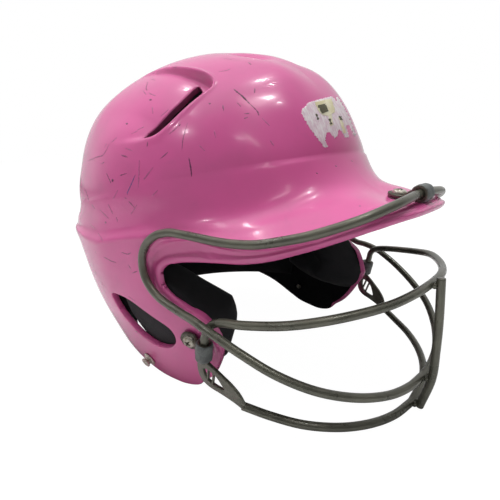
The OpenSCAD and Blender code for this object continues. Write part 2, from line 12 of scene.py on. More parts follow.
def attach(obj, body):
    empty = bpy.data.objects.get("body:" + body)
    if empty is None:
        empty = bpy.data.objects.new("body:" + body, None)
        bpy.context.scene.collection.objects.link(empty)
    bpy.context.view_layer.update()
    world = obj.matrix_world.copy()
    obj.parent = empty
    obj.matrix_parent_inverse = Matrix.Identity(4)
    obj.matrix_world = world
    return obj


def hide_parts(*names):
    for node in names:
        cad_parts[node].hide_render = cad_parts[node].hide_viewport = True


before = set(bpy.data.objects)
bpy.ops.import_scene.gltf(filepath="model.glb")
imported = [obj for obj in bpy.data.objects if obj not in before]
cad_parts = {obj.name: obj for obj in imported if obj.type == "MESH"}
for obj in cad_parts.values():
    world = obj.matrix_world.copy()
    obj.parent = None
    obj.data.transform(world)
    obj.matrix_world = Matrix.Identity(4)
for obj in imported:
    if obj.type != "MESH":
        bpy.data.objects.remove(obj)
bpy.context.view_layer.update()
scene = bpy.context.scene
MM = 0.001


# Camera: its place and turns, and the focal length in pixels of the 500 x 500 picture
CAM = np.array([-205.87, -207.58, 159.25])
AZ, EL, LEAN = np.radians([-45.231, 16.370, -1.737])
FOCAL_PX = 378.54
PICTURE_PX = 500
SENSOR_MM = 36.0
back = np.array([np.sin(AZ) * np.cos(EL), -np.cos(AZ) * np.cos(EL), np.sin(EL)])
level = np.cross(-back, [0, 0, 1])
level /= np.linalg.norm(level)
upright = np.cross(level, -back)
RIGHT = np.cos(LEAN) * level + np.sin(LEAN) * upright
UP = -np.sin(LEAN) * level + np.cos(LEAN) * upright


def stand(axes, at):
    """The matrix of something with the three given axes at a place in metres."""
    rows = np.column_stack([*axes, at]).tolist()
    return Matrix(rows + [[0, 0, 0, 1]])


cam_data = bpy.data.cameras.new("camera")
cam_data.sensor_fit = "AUTO"
cam_data.sensor_width = SENSOR_MM
cam_data.lens = FOCAL_PX / PICTURE_PX * SENSOR_MM
cam_data.clip_start = 0.01
cam = bpy.data.objects.new("camera", cam_data)
scene.collection.objects.link(cam)
cam.matrix_world = stand((RIGHT, UP, back), CAM * MM)
scene.camera = cam


# Mesh helpers
def unit(v):
    v = np.asarray(v, float)
    return v / np.maximum(np.linalg.norm(v, axis=-1, keepdims=True), 1e-12)


def solid(name, verts, faces, mats, face_mat=None):
    """A smooth object from arrays of triangles or quads; verts in mm."""
    me = bpy.data.meshes.new(name)
    verts = np.asarray(verts, float)
    faces = [np.asarray(f) for f in faces if len(f)]
    loops = np.concatenate([f.reshape(-1) for f in faces])
    sizes = np.concatenate([np.full(len(f), f.shape[1]) for f in faces])
    me.vertices.add(len(verts))
    me.vertices.foreach_set("co", (verts * MM).reshape(-1))
    me.loops.add(len(loops))
    me.loops.foreach_set("vertex_index", loops.astype(np.int32))
    me.polygons.add(len(sizes))
    me.polygons.foreach_set("loop_start", (np.cumsum(sizes) - sizes).astype(np.int32))
    for m in mats:
        me.materials.append(m)
    if face_mat is not None:
        me.polygons.foreach_set("material_index", np.asarray(face_mat, np.int32))
    me.polygons.foreach_set("use_smooth", np.full(len(sizes), True))
    me.update(calc_edges=True)
    me.validate()
    ob = bpy.data.objects.new(name, me)
    scene.collection.objects.link(ob)
    return ob


def mesh(name, verts, faces, mats, face_mat=None, flat=None):
    """A piece of the helmet; edges sharper than flat, in degrees, stay sharp."""
    ob = solid(name, verts, faces, mats, face_mat)
    if flat:
        ob.data.set_sharp_from_angle(angle=math.radians(flat))
    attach(ob, "root")
    return ob


def both(make):
    """A decorator: runs a maker for the wearer's left and for its mirror image."""
    for side, word in ((1, "left"), (-1, "right")):
        make(side, word)


def mirrored(p, side):
    """Points for the wearer's left (side 1) or mirrored to the right (side -1)."""
    p = np.array(p, float)
    p[..., 0] *= side
    return p


def grid_faces(rows, cols, wrap_rows=False, wrap_cols=False):
    """Quads of a grid of points; a wrapped direction closes on itself."""
    i = np.arange(rows if wrap_rows else rows - 1)
    j = np.arange(cols if wrap_cols else cols - 1)
    a, b = np.meshgrid(i, j, indexing="ij")
    a2, b2 = (a + 1) % rows, (b + 1) % cols
    return np.stack([a * cols + b, a2 * cols + b, a2 * cols + b2, a * cols + b2], -1).reshape(-1, 4)


def end_caps(rows, cols):
    """Triangles that close both ends of a tube of rings; the two end points follow the rings' points."""
    j = np.arange(cols)
    turn = (j + 1) % cols
    last = (rows - 1) * cols
    hub = np.full(cols, rows * cols)
    return np.concatenate([np.stack([hub, turn, j], -1), np.stack([hub + 1, last + j, last + turn], -1)])


def joined(parts):
    """One pair of points and faces from several."""
    verts, faces, n = [], [], 0
    for v, f in parts:
        verts.append(v)
        faces.append(f + n)
        n += len(v)
    return np.concatenate(verts), np.concatenate(faces)


# The shell's surface
def ramp(t):
    """0 up to t = 0, 1 from t = 1, and an eased rise between."""
    t = np.clip(t, 0, 1)
    return t * t * (3 - 2 * t)


def bump(x, c, w):
    """A hill of height 1 at c, w wide."""
    return np.exp(-((x - c) / w) ** 2)


def blend(a, b, c, d, t):
    """A smooth curve from b to c, at a share t, that heads from a and for d."""
    return 0.5 * ((2 * b) + (c - a) * t + (2 * a - 5 * b + 4 * c - d) * t ** 2
                  + (3 * b - a - 3 * c + d) * t ** 3)


def along(pts, s):
    """Points of a smooth line through pts, at shares s of its length in steps."""
    pts = np.asarray(pts, float)
    n = len(pts) - 1
    ext = np.vstack([2 * pts[0] - pts[1], pts, 2 * pts[-1] - pts[-2]])
    q = np.clip(np.asarray(s, float), 0, 1) * n
    i = np.minimum(np.floor(q).astype(int), n - 1)
    t = (q - i)[..., None]
    return blend(ext[i], ext[i + 1], ext[i + 2], ext[i + 3], t)


def spline(pts, per):
    return along(pts, np.linspace(0, 1, (len(pts) - 1) * per + 1))


# The dome is a tilted ellipsoid: half sizes, centre and tilt. Directions round it are taken from y = RAY_Y
DOME_R = np.array([103.0, 120.0, 89.0])
DOME_C = np.array([0.0, 31.0, 127.0])
TILT = np.radians(11)
RAY_Y = 10.0


def tilted(v):
    """Vectors of the dome turned by its tilt, front edge up."""
    return np.stack([v[..., 0], v[..., 1] * np.cos(TILT) + v[..., 2] * np.sin(TILT),
                     -v[..., 1] * np.sin(TILT) + v[..., 2] * np.cos(TILT)], -1)


def dome_point(polar, turn):
    return DOME_C + tilted(np.stack([DOME_R[0] * np.sin(polar) * np.sin(turn),
                                     -DOME_R[1] * np.sin(polar) * np.cos(turn),
                                     DOME_R[2] * np.cos(polar) + 0 * turn], -1))


def dome_normal(polar, turn):
    return unit(tilted(np.stack([np.sin(polar) * np.sin(turn) / DOME_R[0],
                                 -np.sin(polar) * np.cos(turn) / DOME_R[1],
                                 np.cos(polar) / DOME_R[2] + 0 * turn], -1)))


def reach(a, b, y0, turn):
    """How far an ellipse of half sizes a and b round y0 lies from RAY_Y in a direction."""
    e = RAY_Y - y0
    s, c = np.sin(turn) / a, np.cos(turn) / b
    k = s * s + c * c
    h = e * c / b
    return (h + np.sqrt(h * h - k * (e * e / (b * b) - 1))) / k


def ring_point(ring, turn):
    a, y0, front, rear, z = ring
    f, g = reach(a, front, y0, turn), reach(a, rear, y0, turn)
    r = np.where(RAY_Y - f * np.cos(turn) < y0, f, g)
    return np.stack([r * np.sin(turn), RAY_Y - r * np.cos(turn), z + 0 * r], -1)


# Waist and hem: half width, y of the widest place, reach to the front and to the rear, height
WAIST = [102, 22, 143.5, 116, 50]
HEM = [82.5, 24, 125, 92, -6]
# The edge of the bill and its run round to the back
EDGE = np.array([
    [0, -137, 124], [24, -135, 123], [46, -126, 119], [64, -110, 113.5], [78, -90, 108.5],
    [85, -70, 106.5], [90, -48, 108], [95, -26, 108], [101, 0, 104], [106, 31, 98], [101, 71, 98],
    [84, 109, 96], [48, 139.5, 92], [0, 150.9, 90],
], float)
LIP_H = 8.0


def profile(u):
    """The dome's turn at u and the nine points that the wall runs through, from above the equator down."""
    edge = along(EDGE, u)
    turn = np.where(u <= 0, 0, np.where(u >= 1, np.pi, np.arctan2(edge[..., 0], RAY_Y - edge[..., 1])))
    waist, hem = ring_point(WAIST, turn), ring_point(HEM, turn)
    b = DOME_R[1] * np.cos(TILT)
    far = reach(DOME_R[0], b, DOME_C[1], turn)
    tau = np.arctan2(far * np.sin(turn) / DOME_R[0], (DOME_C[1] - RAY_Y + far * np.cos(turn)) / b)
    eq = dome_point(np.pi / 2, tau)
    deg = np.degrees(turn)
    bill = ramp((75 - deg) / 45)[..., None]
    rear = ramp((deg - 100) / 50)[..., None]
    drop = np.zeros_like(edge)
    drop[..., 2] = edge[..., 2] - eq[..., 2]
    out = edge - eq - drop
    fil = eq + out * (0.32 - 0.08 * bill + 0.6 * rear) + drop * (0.55 + 0.04 * bill)
    brim = eq + out * (0.66 - 0.06 * bill + 0.38 * rear) + drop * (0.82 - 0.02 * bill)
    brim[..., 2] -= 3.2 * ramp(1 - deg / 15)
    lip = edge + (waist - edge) * 0.13
    lip[..., 2] = edge[..., 2] - LIP_H
    return tau, [dome_point(np.radians(74), tau), eq, fil, brim, edge, lip, waist, hem, 2 * hem - waist]


def line_distance(q, line):
    """Distance from points q (n, 2) to a polyline, the nearest spot's place along it, and the side."""
    a, b = line[:-1], line[1:]
    d = b - a
    length = np.linalg.norm(d, axis=1)
    s0 = np.concatenate([[0], np.cumsum(length)])[:-1]
    best, place, side = np.zeros((3, len(q)))
    batch = 20000
    for lo in range(0, len(q), batch):
        w = q[lo:lo + batch, None, :] - a[None]
        t = np.clip((w * d[None]).sum(-1) / np.maximum((length ** 2)[None], 1e-9), 0, 1)
        e = w - t[..., None] * d[None]
        dd = np.sqrt((e ** 2).sum(-1))
        k = dd.argmin(1)
        r = np.arange(len(k))
        best[lo:lo + batch] = dd[r, k]
        place[lo:lo + batch] = s0[k] + t[r, k] * length[k]
        side[lo:lo + batch] = np.sign(d[k, 0] * w[r, k, 1] - d[k, 1] * w[r, k, 0] + 1e-12)
    return best, place, side


# Rear-quarter scoop: its upper edge in plan, wearer's left, from the back round to the temple
SCOOP_EDGE = spline([
    [53.2, 62], [53.6, 48], [53.9, 30], [54, 12], [54.2, -6], [53.7, -19], [53.6, -27.5], [54.9, -32.8],
    [58.2, -34.8], [62.6, -33.6], [67.5, -31.9], [72.6, -29.6], [78.3, -26.3], [82.7, -22.8],
    [85.6, -19.6], [88, -15.6], [90.2, -10.6], [92.3, -4.9], [94.2, 1.9], [95.8, 10], [96.6, 20],
], 5)
# The air slot in the scoop, in plan
SLOT = [
    [55.2, -18.6], [58.5, -17.6], [62.3, -17.4], [67.8, -16.3], [73.1, -14.4], [77.9, -12.2],
    [82.5, -9.6], [86.6, -8], [88.8, -9.2], [88.2, -13.8], [86.5, -17.8], [84.1, -21.2], [81.7, -23.8],
    [77, -27], [71.4, -30.2], [66, -31.9], [62.4, -31.6], [59.6, -29.4], [57.2, -26.6], [55.2, -23.2],
    [54.6, -20.4],
]
SLOT_LINE = spline(SLOT + SLOT[:1], 4)


def relief(p):
    """Height of the raised and sunk forms on the dome.

    Each line gives a form's height in mm, then the place and the width of its spread.
    """
    x, y, z = np.abs(p[..., 0]), p[..., 1], p[..., 2]
    high = np.clip((z - 150) / 40, 0, 1)
    ring = np.sqrt((x / 16) ** 2 + ((y + 13) / 36) ** 2)
    groove = -5.0 * bump(ring, 1.0, 0.33) * ramp((6 - y) / 28) * (1 - 0.85 * ramp((-22 - y) / 20))
    rib = 1.5 * bump(y, -38, 14) * bump(x, 0, 13)
    swell = 1.8 * bump(x, 18, 14) * bump(y, -52, 16)
    temple = -2.2 * bump(x, 42, 18) * bump(z, 166, 18) * ramp((-40 - y) / 20)
    hip = -1.6 * bump(z, 143, 16) * ramp((y - 10) / 40)
    nape = 1.2 * bump(z, 180, 14) * ramp((y - 20) / 30)
    q = np.stack([x, y], -1).reshape(-1, 2)
    near = (q[:, 0] > 40) & (q[:, 1] > -50) & (q[:, 1] < 62)
    d = np.full(len(q), -99.0)
    if near.any():
        dist, place, side = line_distance(q[near], SCOOP_EDGE)
        d[near] = dist * side
    d = d.reshape(x.shape)
    depth = 6.6 * np.clip((46 - y) / 74, 0, 1) * (1 - ramp((x - 84) / 13))
    scoop = -depth * ramp((d + 0.2) / 1.9) + 0.10 * depth * bump(d, -0.7, 1.0)
    return (groove + rib + swell) * high + temple + hip + nape + scoop


# Edge of the face opening and of the flap in the side view (y, z), and the ear vent
OPENING = [
    [-170, 122], [-150, 121], [-138, 119.6], [-130, 116.2], [-121, 112.2], [-110, 107.6], [-101, 104.4],
    [-94, 102.1], [-87, 100.4], [-77, 98.8], [-69, 98.2], [-60, 97.5], [-47, 96.1], [-36.5, 94.4],
    [-31.4, 92.2], [-28.4, 88.8], [-27.6, 85.7], [-29, 79.9], [-34, 75.4], [-39, 71.5], [-44, 67.8],
    [-49, 64.7], [-53, 61.1], [-56.5, 56.5], [-59, 51.5], [-60.3, 46.8], [-60, 43], [-58, 37.9],
    [-54.5, 31.3], [-50, 24], [-44, 16.7], [-35.4, 9.9], [-27, 4.5], [-17, 1.6], [-6, 0.8], [8, 1.8],
    [20, 4.8], [34, 9], [60, 18], [100, 28], [150, 34], [170, 35],
]
CUT = spline(OPENING, 5)
VENT = spline([
    [23.7, 61.4], [20, 53.2], [13.3, 44.6], [4.7, 37.3], [-3.7, 33.1], [-12.5, 32.2], [-20.5, 34],
    [-26.6, 37.6], [-30.4, 43], [-30.8, 48.2], [-27.6, 52.6], [-18.4, 56.6], [-9, 60.2], [0, 63.2],
    [9, 64.6], [18.1, 64.6], [23, 63.4], [23.7, 61.4],
], 4)
# The sunk band: its width at lengths along CUT that are counted from CUT_LEAD
BAND = np.array([
    [0, 3], [10, 4], [19.5, 5], [45, 8], [67, 11], [84, 11], [91, 10], [103.5, 7.5], [116, 5.5],
    [127.4, 3.5], [138.7, 2], [147, 0], [400, 0],
])
CUT_LEAD = 60
BAND_DEPTH = 2.5
BAND_EDGE = 2.4
# Rim of the opening: its roll, the bead along it, and where the opening's rear corner is let out
ROLL_R = 1.9
BEAD_H = 1.5
BEAD_TO = 4.1
CROTCH = [80, 90, 106, 126]
CROTCH_GAIN = 3.2
# The step under the dome at the sides and the back
SHELF = 1.8
# Stands for a distance that is far from every cut
FAR = 50.0


def let_out(place):
    return CROTCH_GAIN * np.interp(place - CUT_LEAD, CROTCH, [0, 1, 1, 0])


def around(u):
    """The share u brought into -1 to 1."""
    return np.mod(u + 1, 2) - 1


def outer(u, v):
    """The moulded surface: u is the share of the way round one side (front 0, back 1), v the level.

    Levels: 0 crown, 1 equator, 2 fillet, 3 brim, 4 edge, 5 lip, 6 waist, 7 hem.
    """
    u, v = np.broadcast_arrays(np.asarray(u, float), np.asarray(v, float))
    uu = around(u)
    tau, prof = profile(np.abs(uu))
    prof = np.stack(prof, -2)
    pol = np.radians(90 * np.minimum(v, 1))
    p = dome_point(pol, tau)
    d = p + relief(p)[..., None] * dome_normal(pol, tau)
    i = np.clip(np.floor(v).astype(int), 1, 6)
    t = (v - i)[..., None]

    def pick(k):
        at = np.broadcast_to(k[..., None, None], prof.shape[:-2] + (1, 3))
        return np.take_along_axis(prof, at, -2)[..., 0, :]

    # round the bill's edge: a shorter pull from the next level down, so that it can't fold over
    later = pick(i + 2)
    turn_in = (ramp((0.42 - np.abs(uu)) / 0.12) * (i == 4))[..., None]
    later = later + turn_in * (2 * pick(i + 1) - pick(i) - later)
    q = blend(pick(i - 1), pick(i), pick(i + 1), later, t)
    o = np.where((v <= 1)[..., None], d, q).copy()
    o[..., 0] = np.where(uu < 0, -o[..., 0], o[..., 0])
    return o


def outer_normal(u, v):
    v = np.maximum(v, 0.03)
    a = outer(u + 0.004, v) - outer(u - 0.004, v)
    b = outer(u, v + 0.02) - outer(u, v - 0.02)
    return unit(np.cross(b, a))


def seat(u, v, h=0.0):
    """The spot at height h over the surface, and the normal there."""
    u, v = np.float64(u), np.float64(v)
    n = outer_normal(u, v)
    return outer(u, v) + h * n, n


def skin(u, v):
    """The surface with its shelf, the bead along the opening, and the sunk band under the guard's wire."""
    p = outer(u, v)
    flat = p.reshape(-1, 3)
    vv = np.broadcast_to(v, p.shape[:-1]).reshape(-1)
    uu = np.abs(around(np.broadcast_to(u, p.shape[:-1]).reshape(-1)))
    shelf = SHELF * ramp((vv - 2.7) / 1.4) * ramp((uu - 0.46) / 0.14) * ramp((7 - vv) / 2.6)
    flat += shelf[:, None] * unit(np.stack([flat[:, 0], 0.8 * (flat[:, 1] - 10), 0 * shelf], -1))
    near = (vv > 3.2) & (flat[:, 1] < 0) & (flat[:, 2] > 25)
    if near.any():
        x, y, z = flat[near].T
        dist, place, side = line_distance(flat[near][:, 1:], CUT)
        w = np.interp(place - CUT_LEAD, BAND[:, 0], BAND[:, 1])
        sunk = BAND_DEPTH * ramp((w + BAND_EDGE - dist) / BAND_EDGE) * ramp(w / 3)
        sunk *= ramp((np.abs(x) - 8) / 40)
        front = ramp((-8 - y) / 15) * ramp((z - 34) / 12)
        sunk -= BEAD_H * ramp((BEAD_TO - dist + let_out(place)) / 1.3) * front
        away = unit(np.stack([x, 0.35 * (y - 20), 0 * sunk], -1))
        flat[near] -= sunk[:, None] * away
    return flat.reshape(p.shape)


def rolled(y, z):
    """1 where the rim is a rolled lip, falling to 0 at the flap's foot and the back."""
    return ramp((z - 4) / 8) * ramp((60 - y) / 40)


def keep(u, v):
    """Signed mm to the nearest cut edge, positive on the moulding."""
    p = outer(u, v).reshape(-1, 3)
    vv = np.broadcast_to(v, np.shape(u)).reshape(-1)
    f = np.full(len(p), FAR)
    low = vv > 3.4
    if low.any():
        dist, place, side = line_distance(p[low][:, 1:], CUT)
        roll = ROLL_R * rolled(p[low][:, 1], p[low][:, 2])
        f[low] = dist * side - roll + 1.0 - let_out(place)
    vent = (vv > 4.6) & (p[:, 1] > -50) & (p[:, 1] < 45)
    if vent.any():
        dist, place, side = line_distance(p[vent][:, 1:], VENT)
        f[vent] = np.minimum(f[vent], dist * side - 0.7)
    top = (vv < 1.2) & (np.abs(p[:, 0]) > 45) & (p[:, 1] > -45) & (p[:, 1] < 5) & (p[:, 2] > 140)
    if top.any():
        q = np.stack([np.abs(p[top][:, 0]), p[top][:, 1]], -1)
        dist, place, side = line_distance(q, SLOT_LINE)
        f[top] = np.minimum(f[top], dist * side - 0.4)
    return f.reshape(np.shape(u))


# Materials
def srgb(r, g, b):
    c = np.array([r, g, b]) / 255
    lin = np.where(c <= 0.04045, c / 12.92, ((c + 0.055) / 1.055) ** 2.4)
    return (*map(float, lin), 1.0)


class Net:
    """Short names for building a node tree. In object coordinates 1 unit is a metre."""

    def __init__(self, nt, space="Object"):
        self.nt = nt
        self.coord = self.node("ShaderNodeTexCoord").outputs[space]

    def node(self, kind, sockets=None, **settings):
        """A node; sockets holds a value or a link for an input's name or number."""
        n = self.nt.nodes.new(kind)
        for key, value in settings.items():
            setattr(n, key, value)
        for key, value in (sockets or {}).items():
            if hasattr(value, "is_linked"):
                self.nt.links.new(value, n.inputs[key])
            else:
                n.inputs[key].default_value = value
        return n

    def scaled(self, scale):
        return self.node("ShaderNodeMapping", {0: self.coord, "Scale": scale}).outputs[0]

    def noise(self, scale, detail=3.0, rough=0.55, vector=None, warp=0.0):
        sockets = {"Vector": vector or self.coord, "Scale": scale, "Detail": detail, "Roughness": rough}
        return self.node("ShaderNodeTexNoise", {**sockets, "Distortion": warp}).outputs[0]

    def cells(self, scale):
        return self.node("ShaderNodeTexVoronoi", {"Vector": self.coord, "Scale": scale}).outputs[0]

    def span(self, value, lo, hi, to_lo=0.0, to_hi=1.0, smooth=True):
        """A value brought from lo to hi into the span from to_lo to to_hi."""
        sockets = dict(enumerate((value, lo, hi, to_lo, to_hi)))
        kind = "SMOOTHSTEP" if smooth else "LINEAR"
        return self.node("ShaderNodeMapRange", sockets, interpolation_type=kind).outputs[0]

    def math(self, op, a, b):
        return self.node("ShaderNodeMath", {0: a, 1: b}, operation=op).outputs[0]

    def mix(self, fac, a, b):
        return self.node("ShaderNodeMix", {0: fac, 6: a, 7: b}, data_type="RGBA").outputs[2]

    def either(self, fac, a, b):
        """The shader a, turning into the shader b."""
        return self.node("ShaderNodeMixShader", {0: fac, 1: a, 2: b}).outputs[0]

    def bump(self, height, strength, distance):
        sockets = {"Height": height, "Strength": strength, "Distance": distance}
        return self.node("ShaderNodeBump", sockets).outputs[0]


def material(name, look, finish=None):
    """A material: look(net) gives the sockets of its shader, and finish(net, shader) may add to it."""
    m = bpy.data.materials.new(name)
    m.use_nodes = True
    m.node_tree.nodes.clear()
    w = Net(m.node_tree)
    surface = w.node("ShaderNodeBsdfPrincipled", look(w)).outputs[0]
    if finish:
        surface = finish(w, surface)
    w.node("ShaderNodeOutputMaterial", {0: surface})
    return m


def shell_look(w):
    grime = w.span(w.noise(70, 6, 0.7, warp=0.4), 0.56, 0.74)
    base = w.mix(w.span(w.noise(18, 4, 0.6), 0.35, 0.7), srgb(224, 98, 162), srgb(214, 98, 156))
    base = w.mix(w.math("MULTIPLY", grime, 0.10), base, srgb(150, 96, 130))
    # below 0.27 all over: the render's denoiser draws faint outlines where the roughness crosses that
    rough = w.span(w.noise(32, 2, 0.5), 0.25, 0.8, 0.21, 0.265)
    return {"Base Color": base, "Roughness": rough, "IOR": 1.5, "Coat Weight": 0.35, "Coat Roughness": 0.09,
            "Normal": w.bump(w.noise(260, 3, 0.5), 0.10, 0.00015)}


def liner_look(w):
    f = w.noise(500, 4, 0.6)
    return {"Base Color": w.mix(w.span(f, 0.3, 0.7), srgb(16, 14, 20), srgb(30, 28, 34)),
            "Roughness": 0.8, "Specular IOR Level": 0.25, "Normal": w.bump(f, 0.3, 0.0004)}


def foam_look(w):
    pores = w.cells(900)
    col = w.mix(w.span(w.noise(40, 3), 0.3, 0.7), srgb(30, 30, 33), srgb(42, 41, 44))
    col = w.mix(w.span(pores, 0.0, 0.35, 0.5, 0.0), col, srgb(14, 14, 17))
    h = w.math("ADD", pores, w.math("MULTIPLY", w.noise(1500, 3), 0.6))
    return {"Base Color": col, "Roughness": 0.85, "Specular IOR Level": 0.3, "Sheen Weight": 0.08,
            "Normal": w.bump(h, 0.35, 0.0003)}


def wire_look(w):
    cloud = w.noise(55, 4, 0.6)
    chip = w.span(w.noise(240, 5, 0.75), 0.70, 0.76)
    col = w.mix(w.span(cloud, 0.3, 0.7), srgb(92, 92, 81), srgb(112, 111, 98))
    col = w.mix(w.math("MULTIPLY", chip, 0.5), col, srgb(168, 168, 158))
    h = w.math("ADD", w.noise(700, 3, 0.6), w.math("MULTIPLY", w.noise(160, 2), 2.0))
    return {"Base Color": col, "Roughness": w.span(cloud, 0.3, 0.7, 0.26, 0.36), "Metallic": 0.4,
            "Coat Weight": 0.3, "Coat Roughness": 0.16, "Normal": w.bump(h, 0.06, 0.0003)}


def vinyl_look(w):
    cloud = w.noise(220, 5, 0.7, warp=0.6)
    return {"Base Color": w.mix(w.span(cloud, 0.32, 0.68), srgb(80, 84, 84), srgb(116, 120, 118)),
            "Roughness": w.span(cloud, 0.3, 0.7, 0.45, 0.65),
            "Normal": w.bump(w.math("ADD", w.noise(900, 3), cloud), 0.25, 0.0003)}


def strap_look(w):
    cloud = w.noise(260, 5, 0.7)
    return {"Base Color": w.mix(w.span(cloud, 0.35, 0.65), srgb(108, 105, 96), srgb(74, 67, 56)),
            "Metallic": w.span(cloud, 0.35, 0.65, 0.75, 0.3), "Roughness": w.span(cloud, 0.3, 0.7, 0.32, 0.6),
            "Normal": w.bump(w.noise(1200, 3), 0.2, 0.0002)}


def nickel_look(w):
    cloud = w.noise(320, 5, 0.7)
    return {"Base Color": w.mix(w.span(cloud, 0.38, 0.7), srgb(214, 210, 198), srgb(132, 120, 100)),
            "Metallic": 0.65, "Roughness": w.span(cloud, 0.3, 0.7, 0.2, 0.42),
            "Normal": w.bump(w.noise(1500, 2), 0.12, 0.0002)}


def paper_look(w):
    fibre = w.noise(160, 4, 0.6, w.scaled((6, 1.5, 1.5)))
    return {"Base Color": w.mix(w.span(fibre, 0.35, 0.65), srgb(244, 236, 238), srgb(226, 200, 212)),
            "Roughness": 0.75, "Normal": w.bump(fibre, 0.4, 0.0003)}


def two_tone(scale, detail, rough, lo, hi, one, other, gloss):
    """A plain look that goes from one colour to the other in soft patches."""
    def look(w):
        patches = w.span(w.noise(scale, detail, rough), lo, hi)
        return {"Base Color": w.mix(patches, one, other), "Roughness": gloss}
    return look


def mark_look(*colour):
    one = srgb(*colour)
    return two_tone(900, 3, 0.6, 0.35, 0.65, one, tuple(c * 0.75 for c in one[:3]) + (1.0,), 0.5)


LOOKS = {
    "shell": ("shell_pink", shell_look), "liner": ("liner_dark", liner_look),
    # shade: the shell pink darkened, painted shade for the walls of the scoop's slots
    "shade": ("shell_painted_shade", two_tone(200, 3, 0.55, 0.3, 0.7, srgb(140, 44, 92), srgb(112, 34, 74), 0.6)),
    "foam": ("foam_dark", foam_look), "wire": ("wire_coating", wire_look),
    "vinyl": ("vinyl_jacket", vinyl_look), "strap": ("strap_steel", strap_look),
    "nickel": ("nickel_plate", nickel_look), "paper": ("torn_paper", paper_look),
    "label": ("label_cream", two_tone(120, 4, 0.6, 0.4, 0.62, srgb(222, 212, 170), srgb(240, 234, 206), 0.6)),
    "olive": ("label_olive", mark_look(92, 88, 62)), "mark": ("scuff_dark", mark_look(112, 52, 92)),
    "rub": ("scuff_rub", mark_look(158, 76, 122)), "haze": ("scuff_haze", mark_look(196, 92, 146)),
    "pen": ("scuff_blue", mark_look(96, 76, 142)),
}
M = {key: material(name, look) for key, (name, look) in LOOKS.items()}


# Shell
WALL = 3.0
# Points round the shell, and rows from each level to the next
AROUND = 500
ROWS = [124, 14, 10, 14, 14, 46, 44]
# Columns of the rim, and those from which it is dark: liner at the opening and the vents, and on the walls of
# the scoop's slots a darker copy of the shell pink that is painted shade
RIM_POINTS = 15
DARK_FROM = 9
SHADE_FROM = 5
# A cut edge longer than this is the opening's; of the others the slots lie above this height
LONG_EDGE = 100
SLOTS_OVER = 120
# The bill's wall is thinner by this
BILL_THIN = 2.1
# A place nearer to a cut than this counts as on the moulding
NEAR_CUT = 0.04


def round_rim():
    """Offsets of a plain rim from the outer to the inner face: along the surface, and out of it."""
    a = np.linspace(0, math.pi, RIM_POINTS + 2)[1:-1]
    return np.stack([WALL / 2 * np.sin(a), -WALL / 2 * (1 - np.cos(a))], -1)


def lip_rim(radius, depth, lip):
    """Offsets of a rim that is rolled inwards and ends in a lip."""
    turn = np.linspace(0, math.pi / 2, 7)[1:]
    tip = np.linspace(0, math.pi, 6)[1:-1]
    end = -radius - depth
    inner = radius - lip
    foot = [[inner, end], [inner, -max(WALL + 0.4, radius + 0.3)], [inner - 0.3, -WALL - 0.1]]
    return np.concatenate([
        np.stack([radius * np.sin(turn), -radius * (1 - np.cos(turn))], -1), [[radius, end]],
        np.stack([radius - lip / 2 + lip / 2 * np.cos(tip), end - lip / 2 * np.sin(tip)], -1),
        foot, [[inner - 1.0, -WALL]]])


def shell_grid():
    """Places (u, v) all over the moulding before it is cut, the crown last, and their triangles."""
    share = 1.0
    nu = int(AROUND * share) // 2 * 2
    levels = []
    for level, rows in enumerate(ROWS):
        rows = max(4, int(rows * share))
        levels += list(level + (np.arange(rows) + 1) / rows)
    cols = len(levels)
    u, v = np.meshgrid(-1 + 2 * np.arange(nu) / nu, levels, indexing="ij")
    q = grid_faces(nu, cols, wrap_rows=True)
    i = np.arange(nu)
    fan = np.stack([np.full(nu, u.size), ((i + 1) % nu) * cols, i * cols], -1)
    return np.append(u, 0.0), np.append(v, 0.0), np.concatenate([q[:, [0, 1, 2]], q[:, [0, 2, 3]], fan])


def crossing(f, at_lo, at_hi):
    """The share from 0 to 1 at which f changes its sign, from its values at both ends."""
    lo, hi = np.zeros(len(at_lo)), np.ones(len(at_lo))
    for step in range(4):
        t = lo + (hi - lo) * at_lo / (at_lo - at_hi)
        t = np.clip(t, lo + 0.02 * (hi - lo), hi - 0.02 * (hi - lo))
        at_t = f(t)
        same = np.sign(at_t) == np.sign(at_lo)
        lo, at_lo = np.where(same, t, lo), np.where(same, at_t, at_lo)
        hi, at_hi = np.where(same, hi, t), np.where(same, at_hi, at_t)
    return np.clip(lo + (hi - lo) * at_lo / (at_lo - at_hi + 1e-12), 0.02, 0.98)


def cut_open(u, v, tris):
    """The triangles that lie on the moulding, with new places along its cut edges."""
    f = keep(u, v)
    f[-1] = FAR
    f = np.where(np.abs(f) < NEAR_CUT, NEAR_CUT, f)
    on = f > 0
    corners = on[tris].sum(1)
    parts = [tris[corners == 3]]
    crossed = {}

    def new_places(a, b):
        pairs = np.sort(np.stack([a, b], -1), -1).tolist()
        return len(u) + np.array([crossed.setdefault(tuple(pair), len(crossed)) for pair in pairs], int)

    for want in (1, 2):
        t = tris[corners == want]
        odd = on[t] if want == 1 else ~on[t]
        k = odd.argmax(1)
        r = np.arange(len(t))
        a, b, c = t[r, k], t[r, (k + 1) % 3], t[r, (k + 2) % 3]
        ab, ac = new_places(a, b), new_places(a, c)
        if want == 1:
            parts.append(np.stack([a, ab, ac], -1))
        else:
            parts += [np.stack([ab, b, c], -1), np.stack([ab, c, ac], -1)]
    i, j = np.array(list(crossed)).T
    du = u[j] - u[i]
    du -= 2 * np.round(du / 2)
    dv = v[j] - v[i]
    t = crossing(lambda s: keep(u[i] + s * du, v[i] + s * dv), f[i], f[j])
    u, v = np.append(u, u[i] + t * du), np.append(v, v[i] + t * dv)
    used, tris = np.unique(np.concatenate(parts), return_inverse=True)
    return u[used], v[used], tris.reshape(-1, 3)


